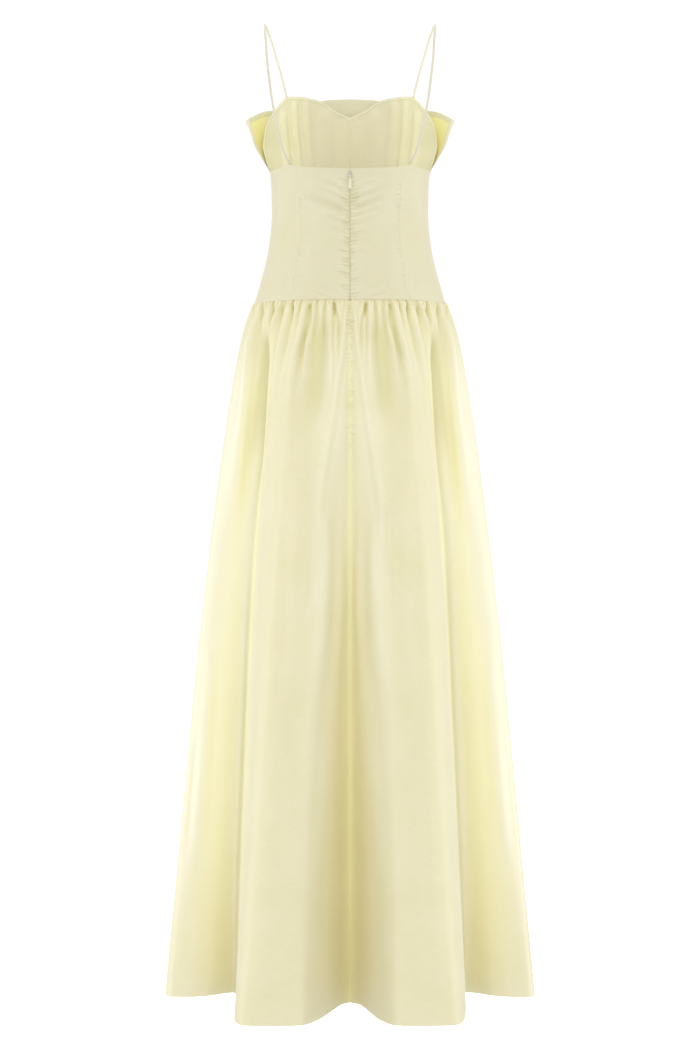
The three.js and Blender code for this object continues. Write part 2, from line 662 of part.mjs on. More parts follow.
addPair('back_center', bodicePanel(backCenter), SHELL);
addPair('back_side', bodicePanel(backSide), SHELL);
addPair('front_side', bodicePanel(frontSide), SHELL);
addPair('front_center', bodicePanel(frontCenter), SHELL);
addPair('front_lining', liningShape(), INSIDE);
addPair('strap', strapShape(), STRAP_CLOTH);
addPair('skirt_back', skirtPanel(0, 90), SKIRT_CLOTH);
dress.add(
  mesh('skirt_front', skirtPanel(-180, 0), SKIRT_CLOTH),
  mesh('bust_flap', bustFlap, FLAP_CLOTH),
  mesh('zip_tape', zipTapeShape(), TAPE),
  mesh('zip_slider', sliderShape(), STEEL),
  mesh('zip_pull', pullShape(), PULL_PAINT),
);

export default dress;
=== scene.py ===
"""A long pale yellow taffeta dress, worn and filled out: a fitted panelled bodice and a gathered skirt.

Sizes in the tables are millimetres; meshes are made in metres. +Z is up, the front faces -Y and the wearer's
left is +X. The origin lies midway between the tops of the straps, so every height is a drop below it.
Directions round the body are polar angles in degrees: 0 the left side, 90 the back, -90 the front.
"""
import logging
import math
from dataclasses import dataclass
from enum import Enum
from typing import Any, Callable, NamedTuple, Sequence

import bpy
import numpy as np
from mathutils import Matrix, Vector


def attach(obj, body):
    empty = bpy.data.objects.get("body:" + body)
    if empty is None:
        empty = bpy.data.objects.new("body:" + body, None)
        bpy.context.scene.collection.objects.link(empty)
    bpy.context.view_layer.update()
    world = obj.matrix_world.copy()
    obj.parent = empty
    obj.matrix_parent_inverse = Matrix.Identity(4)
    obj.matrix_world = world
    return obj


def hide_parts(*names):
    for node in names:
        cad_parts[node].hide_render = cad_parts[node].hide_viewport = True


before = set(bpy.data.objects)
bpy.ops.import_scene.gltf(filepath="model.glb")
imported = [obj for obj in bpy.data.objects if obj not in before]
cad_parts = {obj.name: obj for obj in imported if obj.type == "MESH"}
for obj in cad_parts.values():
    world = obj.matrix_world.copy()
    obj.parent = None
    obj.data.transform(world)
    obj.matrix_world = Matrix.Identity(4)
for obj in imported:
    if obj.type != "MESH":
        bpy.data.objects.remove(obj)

LOG = logging.getLogger("dress")
MM = 0.001
Array = np.ndarray
Surface = Callable[[Array, Array], Array]

# ---------------------------------------------------------------- sizes shared by the pieces
CLOTH = 0.5  # thickness of one layer of taffeta with its turnings
SEAM_GAP = 0.3
MEETING = 0.06  # what is left between two pieces at a seam, where their edges roll in
ZIP_OPENING = 0.85  # the same over the zip, where the tape shows as a thin line
WAIST = 420.0
HEM = 1456.0
SIDE_TOP = 222.0
SECTION_POWER = 2.3
DRESS = "dress"  # the body that all but the pull tab moves with
UV = "cloth"  # the cloth's own map, in metres
PAINTED_TONE = "tone"  # attribute: painted light and shade, 1 where the cloth is painted palest and -1 where it is painted as a deep fold
PAINTED_CREASE_SHADE = "drawn"  # attribute: painted shade, 1 in a narrow crease


class Half(Enum):
    """The wearer's left or right half, with the sign of its X."""

    LEFT = 1
    RIGHT = -1

    @property
    def word(self) -> str:
        """The half's name in lower case."""
        return self.name.lower()

    @property
    def flip(self) -> Array:
        """What turns points of the left half into this half's."""
        return np.array([self.value, 1, 1])


class Section(NamedTuple):
    """A level section of the bodice."""

    drop: float
    half_width: float
    front_depth: float
    back_depth: float


class Fold(NamedTuple):
    """A large fold of the skirt: its direction at the waist, its place at the hem and its late dip."""

    turn: float
    hem_x: float
    hem_y: float
    dip: float


class Gather(NamedTuple):
    """A gather's valley: its direction, its depth and its length below the waist seam."""

    turn: float
    depth: float
    length: float


class Pinch(NamedTuple):
    """A pinch at the waist seam: its place, its depth and its length.

    The place is a distance from the centre back in the table and a direction once it is worked out.
    """

    place: float
    depth: float
    length: float


SECTIONS = (
    Section(80, 137, 105, 84), Section(130, 140, 115, 85), Section(169, 140, 119, 87),
    Section(200, 129.5, 117, 88), Section(222, 120.3, 110, 88), Section(250, 118, 99, 85.5),
    Section(285, 117.5, 90, 83), Section(340, 123, 91, 90), Section(380, 132.5, 95, 97),
    Section(420, 144, 99, 104),
)
FRONT_TOP = (
    (0, 222), (8.6, 211), (15.2, 193), (20.4, 168), (23.6, 143.6), (27.2, 130.6), (33.3, 114.4), (38, 102),
    (40.8, 96.6), (43, 94.6), (51, 93.7), (58.5, 95.4), (69, 100.6), (76.5, 110.5), (90, 123),
)  # (turn towards the front, drop)
BACK_TOP = (
    (0, 226.4), (50, 224), (73, 221.4), (85, 218.8), (91.8, 217.3), (98, 219), (105, 221), (122, 222),
)  # (across, drop)
BACK_PRINCESS = ((219, 79), (258, 74.3), (293, 72.7), (324, 72.7), (353, 75.8), (381, 80.2), (420, 88))
FRONT_PRINCESS = ((92, 92), (180, 84), (285, 60), (420, 72))  # (drop, across)
FOLDS = (
    Fold(-90, 0, -196, 0), Fold(-81, 38, -212, 0), Fold(-73, 72, -240, 0), Fold(-64, 114, -246, 0),
    Fold(-55, 150, -216, 0), Fold(-45, 160, -150, 0), Fold(-35, 172, -84, 0), Fold(-25, 216, -82, 0),
    Fold(-12, 264, -56, 0), Fold(0, 279, -12, 0), Fold(8, 268, 14, 0), Fold(16, 240, 15, 0),
    Fold(20.5, 212, 3, 0), Fold(25, 190, -22, 0), Fold(30, 174, -32, 0), Fold(39, 170, 54, 0),
    Fold(49, 167, 165, 0), Fold(55.5, 162, 240, 0), Fold(58.5, 150, 262, 0), Fold(63.5, 108, 264, 0),
    Fold(70, 68, 264, 2), Fold(76.5, 44, 264, 50), Fold(83.5, 25, 264, 136), Fold(87, 13, 264, 192),
    Fold(90, 0, 264, 210),
)
BACK_GATHERS = (
    (9.8, 2.2, 90), (22, 4.2, 190), (36, 2.6, 110), (46, 2.4, 90), (56.5, 4.4, 210), (69.5, 3.0, 130),
    (82, 3.4, 160), (95, 3.6, 190), (111, 3.2, 150), (127, 3.4, 130), (139, 2.8, 110),
)  # (across, depth, length)
BACK_PINCHES = (
    Pinch(7, 2.2, 27), Pinch(14, 2.4, 19), Pinch(18, 2.0, 15), Pinch(24.5, 2.6, 25),
    Pinch(30, 2.4, 17), Pinch(35.7, 2.9, 23), Pinch(40.3, 2.4, 15), Pinch(48.8, 4.0, 21),
    Pinch(53.4, 2.4, 17), Pinch(58.8, 2.8, 30), Pinch(64.5, 2.2, 19), Pinch(70.4, 3.5, 27),
    Pinch(75, 2.6, 19), Pinch(82.8, 3.9, 30), Pinch(87.4, 2.4, 19), Pinch(93.6, 2.6, 23),
    Pinch(98.2, 4.2, 41), Pinch(105.1, 3.2, 30), Pinch(112.9, 4.5, 44), Pinch(117.5, 2.4, 19),
    Pinch(122.1, 3.5, 30), Pinch(129.1, 4.2, 39), Pinch(134.5, 2.9, 27), Pinch(140.8, 5.2, 57),
)
STAR_ENDS = ((7, 566), (11, 572), (12, 579), (8, 586), (4, 590))  # (across, drop) where the zip ends
FRONT_GATHER_COUNT = 13
FLARE_POWER = 0.66  # how early the skirt spreads on its way down
DIP_START, DIP_POWER, DIP_EASE = 0.17, 0.9, 0.05  # where the folds' late dip starts, and its curve
SOFT_TURNS = ((-6.0, 0.11), (-3.0, 0.22), (0.0, 0.34), (3.0, 0.22), (6.0, 0.11))  # (turn, share)
SOFT_FALL, SOFT_HEM, SOFT_LOSS = (0.02, 0.3), (0.8, 1.0), 0.6  # where folds are round, and less so at the hem
GATHER_RISE = 16.0  # distance below the seam at which a gather is at its deepest
GATHER_PINCH = 0.35  # share of its depth that a gather has at the seam itself
GATHER_HOLD = 0.15  # share of its length over which a gather keeps its depth
GATHER_CREST = 0.4  # share of its depth by which the cloth stands out between two gathers
GATHER_WALL, GATHER_POWER = 0.42, 1.4  # share of the way to the next gather that a wall takes, and its curve
SLANT_LIMIT = 1.5  # most that a step is made longer where a surface slants
NORMAL_TURN, NORMAL_DROP = 0.35, 1.5  # how far apart the points are that a surface's normal is taken from


# ---------------------------------------------------------------- curves and surfaces
class Curve:
    """A smooth curve through the rows of a short table, which never overshoots them."""

    def __init__(self, rows: Sequence[tuple[float, float]]) -> None:
        """Works out the curve's slope at each row.

        Args:
            rows: Pairs of key and value, with rising keys.
        """
        self.x, self.y = np.array(rows, dtype=float).T
        steps = np.diff(self.y) / np.diff(self.x)
        self.slope = np.zeros(len(self.x))
        self.slope[0], self.slope[-1] = steps[0], steps[-1]
        before, after = steps[:-1], steps[1:]
        total = np.where(before * after > 0, before + after, 1.0)
        self.slope[1:-1] = np.where(before * after > 0, 2 * before * after / total, 0.0)

    def at(self, place: Array | float) -> Array:
        """The curve's value.

        Args:
            place: Keys, held between the first and the last row.

        Returns:
            One value for each key.
        """
        at = np.clip(place, self.x[0], self.x[-1])
        i = np.clip(np.searchsorted(self.x, at) - 1, 0, len(self.x) - 2)
        span, rise = self.x[i + 1] - self.x[i], self.y[i + 1] - self.y[i]
        start, end = self.slope[i] * span, self.slope[i + 1] * span
        bend, twist = 3 * rise - 2 * start - end, start + end - 2 * rise
        t = (at - self.x[i]) / span
        return self.y[i] + t * start + t * t * bend + t ** 3 * twist


def column(rows: Sequence[Any], key: str, value: str) -> Curve:
    """The curve through one column of a table with named columns.

    Args:
        rows: The table.
        key: Name of the column that the curve is read by.
        value: Name of the column that it gives.

    Returns:
        The curve.
    """
    return Curve([(getattr(row, key), getattr(row, value)) for row in rows])


HALF_WIDTH = column(SECTIONS, "drop", "half_width")
FRONT_DEPTH = column(SECTIONS, "drop", "front_depth")
BACK_DEPTH = column(SECTIONS, "drop", "back_depth")
HEM_X, HEM_Y, HEM_DIP = (column(FOLDS, "turn", name) for name in ("hem_x", "hem_y", "dip"))
FRONT_TOP_CURVE, BACK_TOP_CURVE = Curve(FRONT_TOP), Curve(BACK_TOP)
BACK_PRINCESS_CURVE, FRONT_PRINCESS_CURVE = Curve(BACK_PRINCESS), Curve(FRONT_PRINCESS)


def mix(a: Any, b: Any, share: Any) -> Any:
    """A value part of the way from a to b."""
    return a + (b - a) * share


def ease(value: Any, low: float, high: float) -> Any:
    """0 below low, 1 above high, and a soft step between them."""
    t = np.clip((value - low) / (high - low), 0, 1)
    return t * t * (3 - 2 * t)


def bodice_point(turn: Array, drop: Array) -> Array:
    """The bodice's outer face.

    Args:
        turn: Directions in degrees.
        drop: Drops below the origin.

    Returns:
        Points, with a last axis of three.
    """
    turn, drop = np.broadcast_arrays(np.asarray(turn, float), np.asarray(drop, float))
    across, along = np.cos(np.radians(turn)), np.sin(np.radians(turn))
    depth = np.where(along < 0, FRONT_DEPTH.at(drop), BACK_DEPTH.at(drop))
    share = (abs(across) / HALF_WIDTH.at(drop)) ** SECTION_POWER + (abs(along) / depth) ** SECTION_POWER
    reach = share ** (-1 / SECTION_POWER)
    return np.stack([reach * across, reach * along, -drop], axis=-1)


def turn_across(across: Array, drop: Array, side: int) -> Array:
    """The direction in which the bodice is a given distance from its centre line.

    Args:
        across: Distances from the centre line.
        drop: Drops below the origin.
        side: 1 on the back, -1 on the front.

    Returns:
        Directions in degrees.
    """
    depth = FRONT_DEPTH.at(drop) if side < 0 else BACK_DEPTH.at(drop)
    inside = np.maximum(1 - (np.abs(across) / HALF_WIDTH.at(drop)) ** SECTION_POWER, 0)
    return np.degrees(np.arctan2(side * depth * inside ** (1 / SECTION_POWER), across))


def gather_table() -> list[Gather]:
    """The gathers of the left half from just past the centre front to the centre back, by direction."""
    front = [
        Gather(-90 + (i + 0.5 + 0.22 * math.sin(2.4 * i)) * 90 / FRONT_GATHER_COUNT,
               3.1 + 0.9 * math.sin(1.7 * i + 0.6), 140 + 45 * math.sin(2.9 * i))
        for i in range(FRONT_GATHER_COUNT)
    ]
    back = [Gather(float(turn_across(x, WAIST, 1)), depth, length) for x, depth, length in BACK_GATHERS]
    return [front[0]._replace(turn=-180 - front[0].turn), *front, *back[::-1], Gather(90, 1.6, 60)]


GATHERS = gather_table()


def left_turn(turn: Array) -> Array:
    """The same direction on the left half, for one on either half."""
    back = np.where(turn > 90, 180 - turn, turn)
    return np.where(back < -90, -180 - back, back)


def gather_share(below: Array, length: Array) -> Array:
    """How deep a gather is, as a share, at a distance below the waist seam."""
    grown = GATHER_PINCH + (1 - GATHER_PINCH) * ease(below, 0, GATHER_RISE)
    return grown * (1 - ease(below, GATHER_HOLD * length, length))


def gather_height(turn: Array, drop: Array) -> Array:
    """How far the gathers move the skirt's face out: narrow valleys with round crests between them."""
    turns, depths, lengths = (np.array(values) for values in zip(*GATHERS))
    place = left_turn(turn)
    after = np.clip(np.searchsorted(turns, place), 1, len(turns) - 1)
    way = (place - turns[after - 1]) / (turns[after] - turns[after - 1])
    low = depths[after - 1] * gather_share(drop - WAIST, lengths[after - 1])
    high = depths[after] * gather_share(drop - WAIST, lengths[after])
    crest = GATHER_CREST * mix(low, high, way)
    walls = (low * (1 - ease(way, 0, GATHER_WALL)) ** GATHER_POWER
             + high * (1 - ease(1 - way, 0, GATHER_WALL)) ** GATHER_POWER)
    return crest - (1 + GATHER_CREST) * walls


def cut_skirt_point(turn: Array, drop: Array) -> Array:
    """The skirt with its folds still sharp: a blend from the waist seam to the hem's outline.

    Args:
        turn: Directions at the waist seam, in degrees.
        drop: Drops below the origin.

    Returns:
        Points, with a last axis of three.
    """
    turn, drop = np.broadcast_arrays(np.asarray(turn, float), np.asarray(drop, float))
    half = left_turn(turn)
    side = np.where(np.isclose(half, turn), 1.0, -1.0)
    fall = np.clip((drop - WAIST) / (HEM - WAIST), 0, 1)
    spread = fall ** FLARE_POWER
    down = np.maximum((fall - DIP_START) / (1 - DIP_START), 0)
    late = down ** DIP_POWER * down / (down + DIP_EASE) * (1 + DIP_EASE)
    seam = bodice_point(half, np.full_like(half, WAIST))
    x = mix(seam[..., 0], HEM_X.at(half), spread)
    y = mix(seam[..., 1], HEM_Y.at(half), spread) - HEM_DIP.at(half) * late
    return np.stack([side * x, y, -drop], axis=-1)


def plain_skirt_point(turn: Array, drop: Array) -> Array:
    """The skirt without its gathers, its folds rounded as hanging cloth rounds them between seam and hem.

    Args:
        turn: Directions at the waist seam, in degrees.
        drop: Drops below the origin.

    Returns:
        Points, with a last axis of three.
    """
    turn, drop = np.broadcast_arrays(np.asarray(turn, float), np.asarray(drop, float))
    round_points = sum(share * cut_skirt_point(turn + step, drop) for step, share in SOFT_TURNS)
    fall = (drop - WAIST) / (HEM - WAIST)
    share = ease(fall, *SOFT_FALL) * (1 - SOFT_LOSS * ease(fall, *SOFT_HEM))
    return mix(cut_skirt_point(turn, drop), round_points, share[..., None])


def moved(surface: Surface, turn: Array, drop: Array, lift: Array | float) -> Array:
    """A surface moved out, or in for a negative lift, with its points kept level.

    Args:
        surface: The surface.
        turn: Directions in degrees.
        drop: Drops below the origin.
        lift: Distances to move.

    Returns:
        Points, with a last axis of three.
    """
    along = surface(turn + NORMAL_TURN, drop) - surface(turn - NORMAL_TURN, drop)
    down = surface(turn, drop + NORMAL_DROP) - surface(turn, drop - NORMAL_DROP)
    normal = np.cross(down, along)
    normal /= np.linalg.norm(normal, axis=-1, keepdims=True)
    level = np.hypot(normal[..., 0], normal[..., 1])
    step = np.asarray(lift) * np.minimum(1 / level, SLANT_LIMIT) / level
    point = surface(turn, drop)
    point[..., 0] += normal[..., 0] * step
    point[..., 1] += normal[..., 1] * step
    return point


def smooth(knots: Array, count: int) -> Array:
    """A smooth path through its knots.

    Args:
        knots: The points that it goes through.
        count: Steps between two of them.

    Returns:
        The path's points.
    """
    padded = np.vstack([2 * knots[0] - knots[1], knots, 2 * knots[-1] - knots[-2]])
    t = np.linspace(0, 1, count, endpoint=False)[:, None]
    rows = []
    for a, b, c, d in zip(padded, padded[1:], padded[2:], padded[3:]):
        bend, twist = 2 * a - 5 * b + 4 * c - d, 3 * b - a - 3 * c + d
        rows.append(0.5 * (2 * b + (c - a) * t + bend * t ** 2 + twist * t ** 3))
    return np.vstack([*rows, knots[-1:]])


def run(points: Array, axis: int = 0) -> Array:
    """How far each point lies along its line of points.

    Args:
        points: Points, with a last axis of three.
        axis: The axis that the lines follow.

    Returns:
        Distances from each line's first point.
    """
    steps = np.linalg.norm(np.diff(points, axis=axis), axis=-1)
    return np.insert(np.cumsum(steps, axis=axis), 0, 0.0, axis=axis)


# ---------------------------------------------------------------- creases
@dataclass(frozen=True)
class Crease:
    """A soft ridge or trough along a path on the cloth.

    Args:
        path: Points of distance from the centre line, positive to the wearer's left, and drop.
        height: Height of the ridge, or depth of the trough if negative.
        width: Distance to each side at which it has faded.
        wide_end: The same at its far end, or 0 for no change.
        fade: Share of its length over which it fades at each end.
        sharp: Above 1 for a narrower crest between wide feet.
    """

    path: tuple[tuple[float, float], ...]
    height: float
    width: float
    wide_end: float = 0.0
    fade: tuple[float, float] = (0.2, 0.35)
    sharp: float = 1.0

    def lift(self, x: Array, drop: Array) -> Array:
        """How far the crease moves the cloth out.

        Args:
            x: Distances from the centre line.
            drop: Drops below the origin.

        Returns:
            One height for each place.
        """
        out = np.zeros(x.shape)
        path = smooth(np.array(self.path, dtype=float), 5)
        reach = max(self.width, self.wide_end)
        low, high = path.min(axis=0) - reach, path.max(axis=0) + reach
        near = (x > low[0]) & (x < high[0]) & (drop > low[1]) & (drop < high[1])
        if not near.any():
            return out
        place = np.stack([x[near], drop[near]], axis=-1)
        steps = np.diff(path, axis=0)
        lengths = np.linalg.norm(steps, axis=1)
        starts = np.concatenate([[0], np.cumsum(lengths)[:-1]])
        best, way = np.full(len(place), np.inf), np.zeros(len(place))
        for start, step, length, before in zip(path, steps, lengths, starts):
            t = np.clip(((place - start) @ step) / max(length * length, 1e-9), 0, 1)
            distance = np.linalg.norm(place - start - t[:, None] * step, axis=1)
            closer = distance < best
            best = np.where(closer, distance, best)
            way = np.where(closer, before + t * length, way)
        share = way / lengths.sum()
        width = mix(self.width, self.wide_end or self.width, share)
        profile = (1 - ease(best / width, 0, 1)) ** self.sharp
        taper = ease(share, -1e-6, self.fade[0] + 1e-6) * ease(1 - share, -1e-6, self.fade[1] + 1e-6)
        out[near] = self.height * profile * taper
        return out


def total_lift(creases: Sequence[Crease], x: Array, drop: Array) -> Array:
    """The sum of several creases."""
    return sum((crease.lift(x, drop) for crease in creases), np.zeros(x.shape))


# ---------------------------------------------------------------- meshes
def link(name: str, mesh: bpy.types.Mesh) -> bpy.types.Object:
    """An object for a mesh, in the scene."""
    made = bpy.data.objects.new(name, mesh)
    bpy.context.scene.collection.objects.link(made)
    return made


def grid_faces(rows: int, columns: int, start: int, flip: bool) -> Array:
    """The quads of a grid of points.

    Args:
        rows: Number of rows of points.
        columns: Points in a row.
        start: Number of the first point.
        flip: True to turn the faces round.

    Returns:
        Four point numbers for each face.
    """
    r, c = np.meshgrid(np.arange(rows - 1), np.arange(columns - 1), indexing="ij")
    a = (start + r * columns + c).ravel()
    quads = np.stack([a, a + columns, a + columns + 1, a + 1], axis=1)
    return quads[:, ::-1] if flip else quads


def cloth_mesh(name: str, points: Array, faces: Array, place: Array,
               painted_shades: dict[str, Sequence[Array]]) -> bpy.types.Object:
    """A smooth mesh with its map and what its material reads.

    Args:
        name: The piece's name.
        points: The outer face's points and then the inner face's, in millimetres.
        faces: Four point numbers for each face.
        place: Where each point of one face lies along and down the cloth, in millimetres.
        painted_shades: Values of painted light and shade by attribute name, for the outer and the inner face.

    Returns:
        The object.
    """
    mesh = bpy.data.meshes.new(name)
    mesh.from_pydata((points * MM).tolist(), [], faces.tolist())
    corners = np.empty(len(mesh.loops), dtype=np.int32)
    mesh.loops.foreach_get("vertex_index", corners)
    layer = mesh.uv_layers.new(name=UV)
    layer.data.foreach_set("uv", (place * MM)[corners % len(place)].ravel())
    for title, values in painted_shades.items():
        layer = mesh.attributes.new(title, "FLOAT", "POINT")
        layer.data.foreach_set("value", np.concatenate([part.ravel() for part in values]))
    mesh.shade_smooth()
    return link(name, mesh)


def shell_mesh(name: str, outer: Array, inner: Array,
               painted_shades: dict[str, Sequence[Array]] | None = None) -> bpy.types.Object:
    """A closed thin wall of cloth between two grids of points.

    Args:
        name: The piece's name.
        outer: Rows and columns of points of the outer face, in millimetres.
        inner: The same of the inner face.
        painted_shades: The painted light and shade that its material reads, by attribute name, for the outer
            and the inner face.

    Returns:
        The object, with a UV map in metres along and down the cloth.
    """
    rows, columns = outer.shape[:2]
    count = rows * columns
    points = np.concatenate([outer.reshape(-1, 3), inner.reshape(-1, 3)])
    number = np.arange(count).reshape(rows, columns)
    rim = np.concatenate([number[0, ::-1], number[1:, 0], number[-1, 1:], number[-2:0:-1, -1]])
    after = np.roll(rim, -1)
    sides = np.stack([rim, after, after + count, rim + count], axis=1)
    faces = np.concatenate([grid_faces(rows, columns, 0, False),
                            grid_faces(rows, columns, count, True), sides])
    a, b, c, d = (points[faces[:, i]] for i in range(4))
    volume = (np.einsum("ij,ij->i", a, np.cross(b, c)) + np.einsum("ij,ij->i", a, np.cross(c, d))).sum()
    if volume < 0:
        faces = faces[:, ::-1]
    place = np.stack([run(outer, 1), run(outer, 0)], axis=-1).reshape(-1, 2)
    made = cloth_mesh(name, points, faces, place, painted_shades or {})
    made.data.set_sharp_from_angle(angle=math.radians(55))
    made.data.update()
    return made


def spaced(width: float, step: float, near_edges: Sequence[float] = ()) -> Array:
    """Shares from 0 to 1, evenly spaced with closer ones near both edges.

    Args:
        width: The real width.
        step: The real distance between two.
        near_edges: Real distances from each edge that are added.

    Returns:
        The shares.
    """
    even = np.linspace(0, 1, max(int(round(width / step)), 2) + 1)
    close = np.array(near_edges) / width
    return np.unique(np.round(np.concatenate([even, close, 1 - close]), 6))


# ---------------------------------------------------------------- materials
def linear(code: str) -> tuple[float, float, float, float]:
    """A colour given as sRGB hex, turned linear.

    Args:
        code: Six hex digits after a hash.

    Returns:
        Linear red, green, blue and an alpha of 1.
    """
    parts = [int(code[i:i + 2], 16) / 255 for i in (1, 3, 5)]
    return (*(p / 12.92 if p <= 0.04045 else ((p + 0.055) / 1.055) ** 2.4 for p in parts), 1.0)


def node(tree: bpy.types.NodeTree, kind: str, links: dict[Any, Any] | None = None,
         values: dict[Any, Any] | None = None, **settings: Any) -> bpy.types.Node:
    """Adds a node with its settings and links.

    Args:
        tree: The tree it goes in.
        kind: Its type.
        links: The output that feeds each of its inputs, by input name or number.
        values: What each of its other inputs is set to.
        **settings: Its own properties.

    Returns:
        The node.
    """
    made = tree.nodes.new(kind)
    for name, value in settings.items():
        setattr(made, name, value)
    for name, value in (values or {}).items():
        made.inputs[name].default_value = value
    for name, source in (links or {}).items():
        tree.links.new(source, made.inputs[name])
    return made


def emptied(block: Any) -> bpy.types.NodeTree:
    """The node tree of a material or a surround, with nothing in it."""
    block.use_nodes = True
    block.node_tree.nodes.clear()
    return block.node_tree


def maths(tree: bpy.types.NodeTree, operation: str, *terms: Any) -> bpy.types.NodeSocket:
    """The result of a sum, each term of which is a number or another node's output."""
    links = {i: term for i, term in enumerate(terms) if isinstance(term, bpy.types.NodeSocket)}
    values = {i: term for i, term in enumerate(terms) if i not in links}
    return node(tree, "ShaderNodeMath", links, values, operation=operation).outputs[0]


def spread(tree: bpy.types.NodeTree, value: bpy.types.NodeSocket, given: tuple[float, float],
           wanted: tuple[float, float]) -> bpy.types.NodeSocket:
    """A value spread from one range over another, and held inside it."""
    limits = zip(("From Min", "From Max", "To Min", "To Max"), (*given, *wanted))
    return node(tree, "ShaderNodeMapRange", {"Value": value}, dict(limits)).outputs[0]


NOISE_RANGE = (0.3, 0.7)  # holds nearly all the values of a noise


@dataclass(frozen=True)
class Taffeta:
    """Plain-woven taffeta with slightly uneven threads: a crisp soft gloss and pale edges, with painted light
    and shade mixed into its colour by two attributes.

    Args:
        name: The material's name.
        color: Its colour as sRGB hex.
        deep: The colour of its thicker weft threads.
        roughness: Mean roughness.
        sheen: Strength of the pale bloom at grazing angles.
        thread: Spacing of the threads, drawn coarser than the real 0.15 mm so that it shows.
        slub: Length and thickness of the thick places in the weft.
        patches: Uneven patches of the dye in each metre.
        relief: Height of the weave's bump in metres.
        bump: Strength of the bump.
        pale: A painted highlight: its colour where it lies double or stands out in the light, as sRGB hex.
        painted_fold_light: Painted light: its colour in deep folds, for light that has passed it more than
            once.
        drawn: Painted shade: its colour in the narrow creases that the seam draws in.
        bloom: The colour of the sheen.
    """

    name: str
    color: str
    deep: str
    roughness: float = 0.5
    sheen: float = 0.6
    thread: float = 0.6
    slub: tuple[float, float] = (14.0, 0.9)
    patches: float = 14.0
    relief: float = 0.00004
    bump: float = 0.35
    # painted highlight, painted fold light and painted crease shade, mixed in by the attributes
    pale: str = "#FFFCE2"
    painted_fold_light: str = "#FBFAC2"
    drawn: str = "#D8D492"
    bloom: str = "#FFFDF0"

    def build(self) -> bpy.types.Material:
        """Makes the material."""
        material = bpy.data.materials.new(self.name)
        tree = emptied(material)
        place = node(tree, "ShaderNodeUVMap", uv_map=UV).outputs["UV"]
        weave = self.weave(tree, place)
        along, thick = self.slub
        stretched = node(tree, "ShaderNodeMapping", {"Vector": place},
                         {"Scale": (1 / (along * MM), 1 / (thick * MM), 1.0)}).outputs[0]
        slubs = node(tree, "ShaderNodeTexNoise", {"Vector": stretched},
                     {"Scale": 1.0, "Detail": 2.0, "Roughness": 0.5}, noise_dimensions="2D").outputs[0]
        cloud = node(tree, "ShaderNodeTexNoise", {"Vector": place},
                     {"Scale": self.patches, "Detail": 3.0, "Roughness": 0.5},
                     noise_dimensions="2D").outputs[0]
        even = spread(tree, maths(tree, "MULTIPLY", slubs, cloud), (0.1, 0.42), (0.0, 1.0))
        tint = node(tree, "ShaderNodeMix", {"Factor": even}, data_type="RGBA")
        tint.inputs["A"].default_value = linear(self.deep)
        tint.inputs["B"].default_value = linear(self.color)
        # painted light and shade: the attributes mix in the painted highlight, the painted fold light and the
        # painted crease shade
        out = node(tree, "ShaderNodeAttribute", attribute_name=PAINTED_TONE).outputs["Fac"]
        narrow = node(tree, "ShaderNodeAttribute", attribute_name=PAINTED_CREASE_SHADE).outputs["Fac"]
        folds = ((out, self.pale), (maths(tree, "MULTIPLY", out, -1.0), self.painted_fold_light), (narrow, self.drawn))
        for share, code in folds:
            tint = node(tree, "ShaderNodeMix", {"Factor": share, "A": tint.outputs["Result"]},
                        data_type="RGBA")
            tint.inputs["B"].default_value = linear(code)
        rough = spread(tree, cloud, NOISE_RANGE, (self.roughness - 0.04, self.roughness + 0.05))
        height = maths(tree, "MULTIPLY_ADD", weave, 0.5, slubs)
        bump = node(tree, "ShaderNodeBump", {"Height": height},
                    {"Strength": self.bump, "Distance": self.relief}).outputs[0]
        shader = node(tree, "ShaderNodeBsdfPrincipled",
                      {"Base Color": tint.outputs["Result"], "Roughness": rough, "Normal": bump},
                      {"Sheen Weight": self.sheen, "Sheen Roughness": 0.35, "IOR": 1.46,
                       "Sheen Tint": linear(self.bloom), "Specular IOR Level": 0.35})
        node(tree, "ShaderNodeOutputMaterial", {"Surface": shader.outputs[0]})
        return material

    def weave(self, tree: bpy.types.NodeTree, place: bpy.types.NodeSocket) -> bpy.types.NodeSocket:
        """Threads that cross over and under, from -1 to 1."""
        per_metre = 1 / (self.thread * MM)
        threads = node(tree, "ShaderNodeMapping", {"Vector": place},
                       {"Scale": (per_metre, per_metre, 1.0)}).outputs[0]
        split = node(tree, "ShaderNodeSeparateXYZ", {"Vector": threads}).outputs
        waves = [maths(tree, "SINE", maths(tree, "MULTIPLY", split[axis], 2 * math.pi))
                 for axis in ("X", "Y")]
        return maths(tree, "MULTIPLY", *waves)


